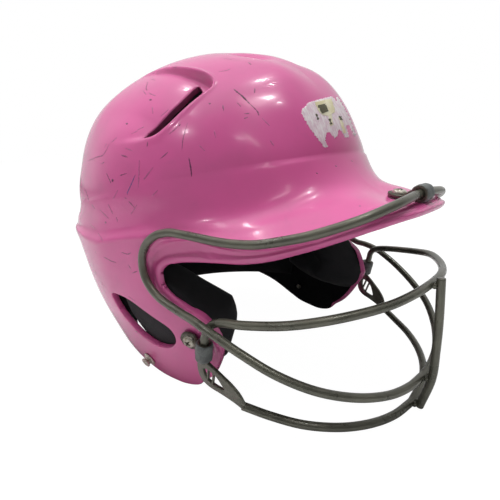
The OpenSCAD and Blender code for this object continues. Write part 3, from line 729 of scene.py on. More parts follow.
def corner_normals(p, tris):
    """Normals at the points from the faces round them, weighted by area."""
    face = np.cross(p[tris[:, 1]] - p[tris[:, 0]], p[tris[:, 2]] - p[tris[:, 0]])
    n = np.zeros_like(p)
    for k in range(3):
        np.add.at(n, tris[:, k], face)
    return unit(n)


def open_edges(faces):
    """The edges that only one face has, in that face's direction."""
    e = np.concatenate([np.stack(pair, -1) for pair in zip(faces.T, np.roll(faces, -1, 1).T)])
    n = faces.max() + 1
    return e[~np.isin(e[:, 0] * n + e[:, 1], e[:, 1] * n + e[:, 0])]


def rings(edges, least=12):
    """Closed runs of edges with more points than least."""
    following = dict(edges.tolist())
    found = []
    while following:
        first = next(iter(following))
        ring = [first]
        at = following.pop(first)
        while at != first and at in following:
            ring.append(at)
            at = following.pop(at)
        if len(ring) > least:
            found.append(np.array(ring))
    return found


def slopes(f, u, v, step=0.0015):
    """How fast f changes with u and with v."""
    return ((f(u + step, v) - f(u - step, v)) / (2 * step),
            (f(u, v + 4 * step) - f(u, v - 4 * step)) / (8 * step))


def evened(v, times=14):
    """Directions round a ring, averaged with their neighbours."""
    for step in range(times):
        v = unit(v + 0.5 * (np.roll(v, 1, 0) + np.roll(v, -1, 0)))
    return v


def off_edge(u, v, n):
    """Directions in the surface that lead over the cut edge, square to the normals n."""
    pu, pv = slopes(outer, u, v)
    fu, fv = slopes(keep, u, v)
    g11, g12, g22 = (pu * pu).sum(1), (pu * pv).sum(1), (pv * pv).sum(1)
    det = np.maximum(g11 * g22 - g12 * g12, 1e-9)
    a = (g22 * fu - g12 * fv) / det
    b = (g11 * fv - g12 * fu) / det
    away = evened(-unit(a[:, None] * pu + b[:, None] * pv))
    return unit(away - (away * n).sum(1)[:, None] * n)


def rim_shape(p, away):
    """Offsets of the rim round one cut edge, and the material of its columns."""
    dark = np.where(np.arange(RIM_POINTS + 1) < DARK_FROM, 0, 1)
    if np.ptp(p, axis=0).max() > LONG_EDGE:
        m = rolled(p[:, 1], p[:, 2])[:, None, None]
        deep = ramp((74 - p[:, 2]) / 12)[:, None, None]
        lip = (1 - deep) * lip_rim(ROLL_R, 0.4, 1.7) + deep * lip_rim(ROLL_R, 2.6, 1.7)
        return (1 - m) * round_rim() + m * lip, dark
    # in the scoop's slots the deeper columns take the painted shade, a darker copy of the shell pink
    if p[:, 2].mean() > SLOTS_OVER:
        s = np.tile(lip_rim(0.7, 1.9, 1.4), (len(p), 1, 1))
        s[:, :, 0] += np.maximum(0, -away[:, 1:2]) * np.clip(-s[:, :, 1] / 2.6, 0, 1) * 2.0
        return s, np.where(np.arange(RIM_POINTS + 1) < SHADE_FROM, 0, 2)
    return np.tile(lip_rim(1.0, 2.4, 1.6), (len(p), 1, 1)), dark


def build_shell():
    """The shell's piece, a tree for sight lines onto its outer face, and the normals of that face."""
    u, v, tris = cut_open(*shell_grid())
    p = skin(u, v)
    n = corner_normals(p, tris)
    if (n * (p - [0, 20, 90])).sum() < 0:
        tris, n = tris[:, ::-1], -n
    thin = BILL_THIN * ramp((v - 3.1) / 0.4) * ramp((0.42 - np.abs(around(u))) / 0.15)
    verts = [p, p - (WALL - thin)[:, None] * n]
    count = 2 * len(p)
    quads, quad_mat = [], []
    for ring in rings(open_edges(tris)):
        ring_n = evened(n[ring])
        away = off_edge(u[ring], v[ring], ring_n)
        s, dark = rim_shape(p[ring], away)
        rim = p[ring][:, None] + s[..., :1] * away[:, None] + s[..., 1:] * ring_n[:, None]
        new = count + np.arange(len(ring) * RIM_POINTS).reshape(-1, RIM_POINTS)
        ids = np.concatenate([ring[:, None], new, len(p) + ring[:, None]], 1)
        after = np.roll(ids, -1, 0)
        f = np.stack([ids[:, :-1], ids[:, 1:], after[:, 1:], after[:, :-1]], -1)
        quads.append(f.reshape(-1, 4))
        quad_mat.append(np.tile(dark, len(ring)))
        verts.append(rim.reshape(-1, 3))
        count += new.size
    faces = [tris, tris[:, ::-1] + len(p), np.concatenate(quads)]
    face_mat = np.concatenate([np.repeat([0, 1], len(tris)), *quad_mat])
    ob = mesh("helmet_shell", np.concatenate(verts), faces, [M["shell"], M["liner"], M["shade"]],
              face_mat)
    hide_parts("shell")
    tree = BVHTree.FromPolygons([Vector(q) for q in p.tolist()], tris.tolist())
    return tree, unit(n[tris].mean(1))


TREE, FACE_N = build_shell()


# Guard wires
WIRE_D = 5.0
BAR_R = WIRE_D / 2 - 0.12
LOW = WIRE_D / 2 + 0.5
SIDES = 24
# Small round of a bar's cut end
END_R = 0.35


def transport(pts, closed):
    """Frames that turn as little as possible along a line."""
    tan = unit(np.roll(pts, -1, 0) - np.roll(pts, 1, 0) if closed else np.gradient(pts, axis=0))
    a = np.array([0.0, 0, 1]) if abs(tan[0][2]) < 0.9 else np.array([0.0, 1, 0])
    side = unit(a - (a @ tan[0]) * tan[0])
    sides = [side]
    for t in tan[1:]:
        side = unit(side - (side @ t) * t)
        sides.append(side)
    s = np.array(sides)
    if closed:
        w = unit(s[-1] - (s[-1] @ tan[0]) * tan[0])
        ang = math.atan2(np.cross(w, s[0]) @ tan[0], w @ s[0])
        a = (np.arange(len(pts)) / len(pts) * ang)[:, None]
        s = np.cos(a) * s + np.sin(a) * np.cross(tan, s)
    return tan, s, np.cross(tan, s)


def rod(name, pts, node, closed=False):
    """A coated round bar along a line; open ends are cut flat."""
    tan, s, t = transport(pts, closed)
    a = (np.arange(SIDES) / SIDES * 2 * math.pi)[None, :, None]
    ring = np.cos(a) * s[:, None] + np.sin(a) * t[:, None]
    rows = pts[:, None] + BAR_R * ring
    if not closed:
        head, tail = [], []
        for q in (math.pi / 4, math.pi / 2):
            r, d = BAR_R - END_R + END_R * math.cos(q), END_R * math.sin(q)
            head.insert(0, pts[0] - tan[0] * d + r * ring[0])
            tail.append(pts[-1] + tan[-1] * d + r * ring[-1])
        rows = np.concatenate([head, rows, tail])
    verts = rows.reshape(-1, 3)
    faces = [grid_faces(len(rows), SIDES, wrap_rows=closed, wrap_cols=True)[:, ::-1]]
    if not closed:
        verts = np.concatenate([verts, [rows[0].mean(0), rows[-1].mean(0)]])
        faces.append(end_caps(len(rows), SIDES))
    ob = mesh(name, verts, faces, [M["wire"]], flat=50)
    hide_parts(node)


def whole(half):
    """A line right across the front, from its left half that ends in the middle."""
    return np.concatenate([mirrored(half, -1), half[::-1][1:]])


# Where the clips' screws sit, and where the wire passes through the clips
BILL_SPOT, BILL_N = seat(0, 3.15)
BILL_AXIS = BILL_SPOT + [0, -12.6, 3.8]
BILL_LIFT = [0, 0, 0.45]
SIDE_SPOT, SIDE_N = seat(0.478, 6.03)
SIDE_AXIS = np.array([92.6, -56.8, 46.7])
SIDE_DIR = unit([0.03, -0.2, 0.98])
LEG_FOOT = SIDE_AXIS - 8 * SIDE_DIR

# The main loop follows the shell at places u, v with a gap over it, then runs free round the jaw
MAIN_OVER = [
    (0.082, 3.78, 0.9), (0.126, 3.83, 0.5), (0.163, 3.88, 0.3), (0.207, 3.91, 0), (0.251, 3.93, 0),
    (0.31, 3.9, 0), (0.35, 3.84, 0), (0.39, 3.78, 0), (0.4325, 3.75, 0), (0.4775, 3.68, 0),
    (0.5064, 3.64, 0), (0.537, 3.87, 0), (0.56, 4.77, 0), (0.573, 5.07, 0), (0.573, 5.3, 0),
    (0.561, 5.47, 0), (0.536, 5.6, 0), (0.488, 5.69, 1),
]
MAIN_FREE = [[96.6, -52, 66.3], [96.2, -61, 64.4], [94.5, -70, 61.2], [90.5, -84, 55], [83, -101, 46.5],
             [71, -117, 38.5], [54, -129.5, 31.5], [35, -138, 26.5], [17, -142, 24], [0, -143, 23]]
MAIN = ([BILL_AXIS + [x, 0, 0] for x in (0, 4, 8)] + [seat(u, v, LOW + gap)[0] for u, v, gap in MAIN_OVER]
        + MAIN_FREE)
EYE = [SIDE_AXIS + h * SIDE_DIR for h in (-8, -4, 0, 5, 9)] + [
    [91.7, -60.2, 60.6], [90.2, -64, 64.8], [89.2, -71, 67.3], [87, -84, 69.5], [80, -102.5, 72.8],
    [70, -116.5, 75.7], [54, -127.7, 77.3], [36, -136, 78.5], [18, -140.7, 80], [0, -142, 80.5]]
CHIN = [[84.5, -78, 17], [77, -92, 13.5], [67.5, -107, 10.5], [54, -120.5, 8], [38, -130.5, 6],
        [20, -136.3, 4], [0, -138.3, BAR_R]]
POST = [[0, -146.7, 84.5], [0, -147, 80.5], [0, -148.2, 60], [0, -148.5, 42], [0, -148.05, 23],
        [0, -143.1, 2]]

main_half = spline(MAIN, 8)
main_loop = np.concatenate([main_half, mirrored(main_half[::-1][1:-1], -1)])
rod("guard_main", main_loop, "guard_main_loop", closed=True)
rod("guard_eye", whole(spline(EYE, 8)), "guard_eye_bar")
rod("guard_chin", whole(spline(CHIN, 8)), "guard_chin_bar")
rod("guard_post", spline(POST, 8), "guard_centre_post")


def weld(at, axes, size, seed, rows=14, cols=22):
    """A lumpy bead of weld under the coating."""
    r = np.random.default_rng(seed)
    a = np.linspace(0, math.pi, rows)[:, None]
    b = np.arange(cols) / cols * 2 * math.pi
    d = np.stack([np.sin(a) * np.cos(b), np.sin(a) * np.sin(b), np.cos(a) + 0 * b], -1)
    waves = r.normal(size=(5, 3)) * 2.2
    phases = r.uniform(0, 6.28, 5)
    lump = 1 + 0.06 * sum(np.sin(d @ k + phase) for k, phase in zip(waves, phases))
    p = d * lump[..., None] * size @ unit(axes)
    return p.reshape(-1, 3) + at, grid_faces(rows, cols, wrap_cols=True)


# Beads beside the centre post (y, z) and on the eye bar's legs
POST_WELDS = [(-144.3, 80.3), (-145.4, 23), (-140.8, 2.9)]
LEG_WELD = [93.4, -62.2, 63.4]
beads = []
for k, (y, z) in enumerate(POST_WELDS, 1):
    for sx in (-1, 1):
        beads.append(weld([sx * 1.6, y, z], np.eye(3), (1.9, 1.5, 1.7), k * 7 + sx))
for side in (1, -1):
    leg_axes = [mirrored([0.5, 0.5, 0.2], side), [0, 1, 0.1], [0, 0, 1]]
    beads.append(weld(mirrored(LEG_WELD, side), leg_axes, (2.0, 2.6, 1.5), 31 + side))
verts, faces = joined(beads)
mesh("guard_welds", verts, [faces], [M["wire"]])


# Metal pieces
def cut_plate(outline, holes, thick, bevel):
    """Vertices (mm) and triangles of a flat piece with rounded edges, lying in the XY plane."""
    cu = bpy.data.curves.new("outline", "CURVE")
    cu.dimensions = "2D"
    cu.fill_mode = "BOTH"
    cu.extrude = thick / 2 - bevel
    cu.bevel_depth = bevel
    cu.bevel_resolution = 3
    cu.offset = -bevel
    for line in [outline] + holes:
        sp = cu.splines.new("POLY")
        sp.points.add(len(line) - 1)
        for point, (x, y) in zip(sp.points, line[:, :2]):
            point.co = (x, y, 0, 1)
        sp.use_cyclic_u = True
    ob = bpy.data.objects.new("outline", cu)
    scene.collection.objects.link(ob)
    me = bpy.data.meshes.new_from_object(ob.evaluated_get(bpy.context.evaluated_depsgraph_get()))
    bpy.data.objects.remove(ob)
    bpy.data.curves.remove(cu)
    me.calc_loop_triangles()
    v = np.zeros(len(me.vertices) * 3)
    me.vertices.foreach_get("co", v)
    t = np.zeros(len(me.loop_triangles) * 3, np.int32)
    me.loop_triangles.foreach_get("vertices", t)
    bpy.data.meshes.remove(me)
    v, t = v.reshape(-1, 3), t.reshape(-1, 3)
    # one point for all that share a place
    grid = np.round(v / 0.001).astype(np.int64)
    _, first, same = np.unique(grid, axis=0, return_index=True, return_inverse=True)
    return v[first], same.reshape(-1)[t]


def ribbon(path, up, halves, thick):
    """A strap of even thickness along a path: rounded edges, one half-width for each point."""
    tan = unit(np.gradient(path, axis=0))
    side = unit(np.cross(tan, up))
    ups = np.cross(side, tan)
    r = thick / 2
    a = np.linspace(-math.pi / 2, math.pi / 2, 5)
    rows = []
    for p, s, u, h in zip(path, side, ups, halves):
        across = max(h - r, 0.02) + r * np.cos(a) * min(1, h / r)
        edge = [[sign * across, sign * r * np.sin(a)] for sign in (1, -1)]
        rows.append(p + np.concatenate([w[:, None] * s + z[:, None] * u for w, z in edge]))
    rows = np.array(rows)
    count, cols = rows.shape[:2]
    verts = np.concatenate([rows.reshape(-1, 3), [rows[0].mean(0), rows[-1].mean(0)]])
    return verts, [grid_faces(count, cols, wrap_cols=True), end_caps(count, cols)]


def lathe(prof, axes, at, sides=44):
    """A turned piece: prof is (radius, height) from one end of the axis to the other."""
    prof = np.asarray(prof, float)
    a = (np.arange(sides) / sides * 2 * math.pi)[None, :, None]
    x, y, z = axes
    rows = prof[:, 0, None, None] * (np.cos(a) * x + np.sin(a) * y) + prof[:, 1, None, None] * z + at
    return rows.reshape(-1, 3), grid_faces(len(prof), sides, wrap_cols=True)


def turned(faces, side):
    """Faces that still look outwards when their piece is mirrored."""
    return [f if side > 0 else f[:, ::-1] for f in faces]


def seat_axes(normal, axis, spot, run):
    """Axes of a clip on its spot: along the wire, towards the wire, and off the shell."""
    x = unit(run - (run @ normal) * normal)
    y = np.cross(normal, x)
    s = 1 if y @ (axis - spot) > 0 else -1
    return s * x, s * y, normal


# Clips: round tab, strap, and the vinyl jacket round the wire
TAB_R = 6.2
TAB_TO = 3.2
STRAP_W = 9.0
STRAP_T = 2.0
STRAP_H = 1.55
JACKET_R = 4.85
JACKET_HALF = {"bill": 4.8, "left": 5.7, "right": 5.7}


def strap_line(far, high):
    """The strap's middle line (towards the wire, off the shell) and its half widths."""
    s = np.concatenate([np.linspace(-TAB_R, -3.0, 12)[:-1], np.linspace(-3.0, TAB_TO, 6)])
    wide = np.sqrt(np.maximum(TAB_R ** 2 - s * s, 0))
    wide = np.where(s < -3, np.maximum(wide, 0.15), np.maximum(wide, STRAP_W / 2))
    k = np.linspace(0.12, 1, 9)
    out = np.append(s, TAB_TO + (far - 4.0 - TAB_TO) * k)
    up = np.append(0 * s, (high + 0.2 - STRAP_H) * ramp(k)) + STRAP_H
    return out, up, np.append(wide, np.full(len(k), STRAP_W / 2))


def jacket_profile(half, r):
    end = [(r + 0.05, half * 0.4), (r, half - 1.4), (r - 0.1, half - 0.6), (r - 0.4, half - 0.15),
           (r - 0.9, half), (3.0, half - 0.1), (2.7, half - 0.25), (2.55, half - 0.7)]
    return [(q, -h) for q, h in end[::-1]] + [(r - 0.05, 0)] + end + [(2.55, 0.7 - half)]


def clip(word, spot, normal, axis, run, side):
    """A clip: a strap from the tab up to the wire, and a dipped vinyl jacket round the wire."""
    x, y, z = seat_axes(normal, axis, spot, run)
    out, up, halves = strap_line((axis - spot) @ y, (axis - spot) @ z)
    v, faces = ribbon(spot + out[:, None] * y + up[:, None] * z, z, halves, STRAP_T)
    ob = mesh(f"clip_{word}_strap", mirrored(v, side), turned(faces, side), [M["strap"]],
              flat=60)
    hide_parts(f"clip_{word}")
    # the jacket: a worn steel rim at both ends, vinyl outside
    w = unit(normal - (normal @ run) * run)
    prof = jacket_profile(JACKET_HALF[word], JACKET_R)
    v, q = lathe(prof, (w, np.cross(run, w), run), axis)
    row = np.repeat(np.arange(len(prof) - 1), len(q) // (len(prof) - 1))
    steel = (row < 4) | (row >= 13)
    # uneven outside, so that it reads as a soft dipped coat
    run_h = (v - axis) @ run
    rad = v - axis - run_h[:, None] * run
    ang = np.arctan2(rad @ np.cross(run, w), rad @ w)
    uneven = 0.02 * np.sin(3 * ang + 1.3) + 0.012 * np.sin(7 * ang + run_h)
    swell = 1 + np.where(np.linalg.norm(rad, axis=1) > 4.0, uneven, 0)
    v = mirrored(axis + run_h[:, None] * run + rad * swell[:, None], side)
    ob = mesh(f"clip_{word}_jacket", v, turned([q], side), [M["vinyl"], M["strap"]],
              steel.astype(int), flat=60)
    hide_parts(f"sleeve_{word}")
    return x, y, z


# Turned profiles as (radius, height)
SCREW = [(0.001, 2.25), (1.0, 2.22), (2.2, 2.0), (3.1, 1.6), (3.7, 1.1), (4.0, 0.6), (4.05, 0.15),
         (3.9, -0.02), (2.1, -0.05), (2.1, -9.5), (1.7, -10.2), (0.001, -10.2)]
SCREW_LIFT = 2.6
# The cross recess at its mouth and at its foot: height, half length, half width
RECESS = [(3.0, 2.4, 0.62), (1.0, 1.3, 0.35)]
SQUARE = [(-1, -1), (1, -1), (1, 1), (-1, 1)]
BOX = np.array([[0, 1, 2, 3], [7, 6, 5, 4], [0, 4, 5, 1], [1, 5, 6, 2], [2, 6, 7, 3], [3, 7, 4, 0]])


def sink(ob, corners):
    """Cuts a tapered box out of a piece."""
    cutter = solid("cutter", corners, [BOX], [])
    bm = bmesh.new()
    bm.from_mesh(cutter.data)
    bmesh.ops.recalc_face_normals(bm, faces=bm.faces)
    bm.to_mesh(cutter.data)
    bm.free()
    mod = ob.modifiers.new("recess", "BOOLEAN")
    mod.operation = "DIFFERENCE"
    mod.solver = "EXACT"
    mod.object = cutter
    bpy.context.view_layer.objects.active = ob
    bpy.ops.object.modifier_apply(modifier=mod.name)
    bpy.data.objects.remove(cutter)


def screw(word, spot, axes, side, turn):
    """A pan head screw with a cross recess, turned by an angle."""
    x, y, z = axes
    v, q = lathe(SCREW, axes, spot + SCREW_LIFT * z, 48)
    c, s = math.cos(turn), math.sin(turn)
    a, b = c * x + s * y, -s * x + c * y
    ob = mesh(f"screw_{word}_head", v, [q[:, ::-1]], [M["nickel"]], flat=40)
    for run, across in ((a, b), (b, a)):
        sink(ob, [spot + (SCREW_LIFT + h) * z + i * half * run + j * wide * across
                  for h, half, wide in RECESS for i, j in SQUARE])
    if side < 0:
        me = ob.data
        co = np.zeros(len(me.vertices) * 3)
        me.vertices.foreach_get("co", co)
        me.vertices.foreach_set("co", mirrored(co.reshape(-1, 3), -1).reshape(-1))
        me.flip_normals()
        me.update()
    ob.data.set_sharp_from_angle(angle=math.radians(38))
    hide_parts(f"screw_{word}")


bill_axes = clip("bill", BILL_SPOT + BILL_LIFT, BILL_N, BILL_AXIS, np.array([1.0, 0, 0]), 1)
screw("bill", BILL_SPOT + BILL_LIFT, bill_axes, 1, 0.9)


@both
def side_clip(side, word):
    axes = clip(word, SIDE_SPOT, SIDE_N, SIDE_AXIS, SIDE_DIR, side)
    screw(word, SIDE_SPOT, axes, side, 0.35)


# Nuts and washers keep their CAD shape
for node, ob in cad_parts.items():
    if node.startswith("nut_") or node.startswith("stud_washer"):
        for s in ob.material_slots:
            s.material = M["nickel" if node.startswith("nut_") else "liner"]

# Chin strap studs
STUD = [(0.001, 5.15), (0.9, 5.1), (1.25, 4.7), (1.7, 4.75), (2.6, 5.05), (3.3, 4.85), (3.6, 4.35),
        (3.5, 3.8), (2.8, 3.2), (2.65, 2.4), (3.0, 1.9), (4.6, 1.55), (5.1, 1.15), (5.2, 0.7),
        (4.95, 0.35), (2.0, 0.3), (2.0, -5.2), (0.001, -5.2)]
STUD_PLACE = (0.648, 6.7)


@both
def stud(side, word):
    at, n = seat(*STUD_PLACE)
    x = unit(np.cross([0, 0, 1.0], n))
    v, q = lathe(STUD, (x, np.cross(n, x), n), at)
    faces = turned([q[:, ::-1]], side)
    ob = mesh(f"stud_{word}_turned", mirrored(v, side), faces, [M["nickel"]], flat=55)
    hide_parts(f"stud_{word}")


# Cheek plates: places are shares of the run from the eye bar's foot to the chin bar, and mm across
CHEEK_FRONT = [[0.03, 8.2], [0.14, 11.2], [0.28, 12.2], [0.43, 10.9], [0.58, 8.0], [0.74, 5.2], [0.89, 3.0]]
CHEEK_BACK = [[0.95, -3.4], [0.8, -5.2], [0.61, -5.6], [0.43, -5.0], [0.25, -4.2], [0.06, -3.0]]
WINDOW = [[0.09, 3.9], [0.15, 6.0], [0.25, 7.6], [0.36, 7.3], [0.47, 5.8], [0.59, 2.6], [0.48, 0.6],
          [0.33, -0.6], [0.19, 0.2], [0.1, 2.2], [0.08, 4.2]]
PLATE_T = 2.2
PLATE_ROUND = 0.5
# Bars left across the window: places, half width and lean
BARS = [0.14, 0.27]
BAR_HALF = 0.6
BAR_LEAN = 0.5


def between(poly, lo, hi, lean):
    """The part of a convex outline whose leaning coordinate x - lean * y lies between two values."""
    for sign, limit in ((1, lo), (-1, -hi)):
        out = []
        for a, b in zip(poly, np.roll(poly, -1, 0)):
            fa = sign * (a[0] - lean * a[1]) - limit
            fb = sign * (b[0] - lean * b[1]) - limit
            if fa >= 0:
                out.append(a)
            if fa * fb < 0:
                out.append(a + (b - a) * fa / (fa - fb))
        poly = np.array(out)
    return poly


@both
def cheek(side, word):
    tip = np.array(CHIN[0], float)
    run = np.linalg.norm(tip - LEG_FOOT)
    d = unit(tip - LEG_FOOT)
    s = unit(np.cross([1, -0.18, -0.16], d))

    def scaled(points):
        return [[run * f, w] for f, w in points]

    line = spline([[-2.5, 1.0], [-1.8, 4.5]] + scaled(CHEEK_FRONT) + [[run + 1.0, 1.4], [run + 3.4, 0.3]]
                  + [[run + 2.4, -1.4]] + scaled(CHEEK_BACK) + [[-1.6, -1.5], [-2.5, 1.0]], 5)[:-1]
    # a leaf-shaped window with slanted bars left across it
    window = spline(scaled(WINDOW), 8)[:-1]
    limits = [-99.0] + [run * f for f in BARS] + [999.0]
    holes = [between(window, lo + BAR_HALF, hi - BAR_HALF, BAR_LEAN) for lo, hi in zip(limits, limits[1:])]
    v, t = cut_plate(line, [h for h in holes if len(h) > 5], PLATE_T, PLATE_ROUND)
    v = v @ np.array([d, s, np.cross(d, s)]) + LEG_FOOT
    ob = mesh(f"cheek_plate_{word}_cut", mirrored(v, side), turned([t], side), [M["wire"]],
              flat=45)
    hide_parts(f"cheek_plate_{word}")


# Foam pads
PAD_GAP = 1.2
PAD_POINTS = 34


def crown_spread(x, y):
    """The dome's points and normals over places x, y, a little under its top."""
    pol = np.arcsin(np.clip(np.sqrt((x / DOME_R[0]) ** 2 + (y / DOME_R[1]) ** 2), 0, 0.999))
    turn = np.arctan2(x / DOME_R[0], -y / DOME_R[1])
    n = dome_normal(pol, turn)
    return dome_point(pol, turn) - 4.4 * n, n


def wall_spread(us, vs, ra, rb, wide, slant):
    """The wall's points and normals in a spread of u and v; wide is its half width from the waist down."""
    v = (vs[0] + vs[1]) / 2 + rb * (vs[1] - vs[0]) / 2
    half = (us[1] - us[0]) / 2
    if wide:
        half = half + (wide - half) * ramp((v - 3.2) / 1.6)
    u = (us[0] + us[1]) / 2 + ra * half
    v = v + slant * (1 - rb) / 2 * (us[1] - u) / (us[1] - us[0])
    return outer(u, v), outer_normal(u, v)


def pad(name, us, vs, thick, node, side=1, on_crown=False, power=3.2, wide=0.0, slant=0.0, corner=0.32):
    """A crowned foam pad on the shell's inner face; its outline is a rounded square in the given spread."""
    n = PAD_POINTS
    s = np.linspace(-1, 1, n)
    a, b = np.meshgrid(s, s, indexing="ij")
    ra = a * np.sqrt(1 - corner * b * b)
    rb = b * np.sqrt(1 - corner * a * a)
    if on_crown:
        p, out = crown_spread(sum(us) / 2 + ra * (us[1] - us[0]) / 2, sum(vs) / 2 + rb * (vs[1] - vs[0]) / 2)
    else:
        p, out = wall_spread(us, vs, ra, rb, wide, slant)
    fat = ((1 - np.maximum(np.abs(a), np.abs(b)) ** power) ** 0.5)[..., None]
    wave = (1 + 0.03 * np.sin(5 * a + 1) * np.cos(4 * b))[..., None]
    glued = p - (WALL + PAD_GAP + 0.9 * (1 - fat)) * out
    worn = p - (WALL + PAD_GAP + 1.2 + (thick - 1.2) * fat * wave) * out
    verts = mirrored(np.concatenate([glued.reshape(-1, 3), worn.reshape(-1, 3)]), side)
    q = grid_faces(n, n)
    ids = np.arange(n * n).reshape(n, n)
    ring = np.concatenate([ids[:, 0], ids[-1, 1:], ids[-2::-1, -1], ids[0, -2:0:-1]])
    after = np.roll(ring, -1)
    wall = np.stack([ring + n * n, after + n * n, after, ring], -1)
    faces = np.concatenate([q, q[:, ::-1] + n * n, wall])
    r = verts - verts.mean(0)
    volume = 0.0
    for k in (1, 2):
        volume += (r[faces[:, 0]] * np.cross(r[faces[:, k]], r[faces[:, k + 1]])).sum()
    ob = mesh(name, verts, [faces if volume > 0 else faces[:, ::-1]], [M["foam"]])
    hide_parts(node)


pad("crown_foam", (-34, 34), (-46, 40), 11, "crown_pad", on_crown=True)
pad("front_foam", (-0.22, 0.22), (0.7, 1.2), 11, "front_pad")
pad("rear_foam", (0.83, 1.17), (0.72, 6.66), 12, "rear_pad", wide=0.33, power=5, corner=0.08)


@both
def side_pads(side, word):
    pad(f"side_foam_{word}", (0.43, 0.74), (0.84, 1.85), 11, f"side_pad_{word}", side)


@both
def ear_pads(side, word):
    pad(f"ear_foam_{word}", (0.398, 0.66), (5.1, 6.46), 37, f"ear_pad_{word}", side, power=7.0, slant=0.8,
        corner=0.42)


# Wear and the torn sticker, placed along the photograph's sight lines onto the shell
def sight(px):
    """The spot of the shell's outer face behind a pixel, its normal, and the line of sight."""
    x, y = (np.asarray(px) - PICTURE_PX / 2) / FOCAL_PX
    d = unit(-back + x * RIGHT - y * UP)
    at, n, k, far = TREE.ray_cast(Vector(CAM), Vector(d))
    if at is None:
        return None, None, d
    return np.array(at), FACE_N[k], d


SHAKE = 0.35
BEAD_LOW = 0.06
BEAD_HIGH = 0.045


def scratch(px_line, width, rng):
    """A thin closed bead along a scratch, tapered at both ends."""
    line = np.asarray(px_line, float)
    n = max(4, int(np.hypot(*np.diff(line, axis=0).T).sum() / 0.9))
    s = along(line, np.linspace(0, 1, n))
    s = s + np.cumsum(rng.normal(size=s.shape), 0) * 0.05 * SHAKE + rng.normal(size=s.shape) * 0.08 * SHAKE
    spots = [sight(q)[:2] for q in s]
    if any(p is None for p, _ in spots):
        return None
    p, out = (np.array(part) for part in zip(*spots))
    side = unit(np.cross(unit(np.gradient(p, axis=0)), out))
    taper = 0.25 + 0.75 * np.sin(np.pi * np.linspace(0, 1, n)) ** 0.6
    w = 1.6 * width * taper * (1 + 0.35 * rng.normal(size=n).clip(-1.5, 1.5))
    w = np.maximum(w, 0.08)[:, None]
    rows = np.stack([p + f * w * side + h * out for f, h in
                     ((-0.5, -BEAD_LOW), (-0.35, BEAD_HIGH), (0.35, BEAD_HIGH), (0.5, -BEAD_LOW))], 1)
    ends = np.array([[0, 1, 2, 3], [4 * n - 1, 4 * n - 2, 4 * n - 3, 4 * n - 4]])
    return rows.reshape(-1, 3), np.concatenate([grid_faces(n, 4, wrap_cols=True), ends])


def scratches(name, lines, mat):
    """One piece from many scratches, each a width and its pixels; a single pixel makes a short nick."""
    rng = np.random.default_rng(len(lines) * 7 + 1)
    beads = []
    for width, *line in lines:
        if len(line) == 1:
            x, y = line[0]
            line = [(x - 0.9, y - 0.3), (x, y), (x + 0.9, y + 0.4)]
        beads.append(scratch(line, width, rng))
    verts, faces = joined([bead for bead in beads if bead])
    mesh(name, verts, [faces], [mat])


STRONG = [
    (0.55, (188.8, 157.5), (190.7, 167.5), (191.6, 176.5)),
    (0.7, (233.9, 89.2), (242, 95.9), (250, 103.9)), (0.5, (250, 103.9), (257.1, 111.1), (258.9, 115.5)),
    (0.9, (209.6, 103.5)), (0.6, (120.1, 175.5), (127, 173.2)), (0.5, (248.2, 62), (251.3, 64.8)),
    (1.2, (112.5, 180.5)), (1, (126.8, 123.6)), (1.1, (150.5, 99.7)), (1, (135.4, 331), (137.4, 332.2)),
    (0.45, (178.6, 126.3), (180.4, 124)), (0.7, (317, 173.2)), (0.5, (106.4, 173.2), (111, 183.2)),
    (0.45, (85.3, 188.9), (89.2, 201.9)),
]
MEDIUM = [
    (0.4, (222.8, 57.9), (232.1, 59.7)), (0.4, (175, 64.2), (177.7, 62.9)),
    (0.4, (150.9, 78.5), (155.4, 80.3)), (0.4, (147.8, 81.6), (146, 87.9), (147.3, 90.5)),
    (0.4, (142.9, 90.5), (146.4, 95)), (0.5, (149.1, 93.2), (155.8, 95.9)),
    (0.4, (168.8, 109.3), (160.7, 116.4)), (0.5, (222.8, 104.8), (223.7, 111.1)),
    (0.4, (218.8, 71.8), (226.8, 70.4), (230.4, 68.7)), (0.5, (236.6, 102.1), (241.1, 106.6)),
    (0.5, (243.8, 113.8), (249.1, 113.3)), (0.5, (243.8, 118.7), (248.2, 116.9)),
    (0.5, (254.9, 87.9), (254.5, 93.2)), (0.4, (168.8, 134.3), (177.7, 127.1)),
    (0.35, (187.5, 122.7), (184.8, 132.5), (183, 139.6), (182, 150)), (0.45, (168, 152), (160, 158.8)),
    (0.4, (144.2, 126.7), (137.5, 129.8)), (0.4, (117.1, 137.3), (111.7, 142.2)),
    (0.45, (110.2, 142.6), (103.3, 154.5), (97.2, 156.8), (88, 160.6)),
    (0.4, (106.4, 143.4), (104.5, 147.6)), (0.6, (120.9, 154.9), (127.8, 157.2)),
    (0.45, (101.4, 163.7), (104.5, 162.1)), (0.5, (91.5, 204.2), (94.9, 208.8)),
    (0.5, (128.6, 201.2), (134.7, 208)), (0.45, (116.3, 217.2), (117.5, 221.8)), (0.8, (125.5, 198.1)),
    (0.8, (105.6, 222.6)), (0.4, (147.7, 141.5), (147, 146.8)), (0.7, (336, 166)), (0.6, (352, 161)),
    (0.7, (360, 206)), (0.5, (189.3, 56.6), (192, 55.9)), (0.5, (95.2, 251.5), (96.4, 253.6)),
    (0.45, (93.2, 263.8), (93.9, 266.5)), (0.5, (103.5, 257), (107, 258.8), (111.5, 261.3), (116, 262.5)),
    (0.45, (121.5, 252.4), (127.4, 254.2), (131, 252.8)), (0.45, (128.5, 264.5), (131.2, 270)),
    (0.45, (132, 273.2), (137.5, 271.2)), (0.6, (94, 271), (97, 274.5)),
]
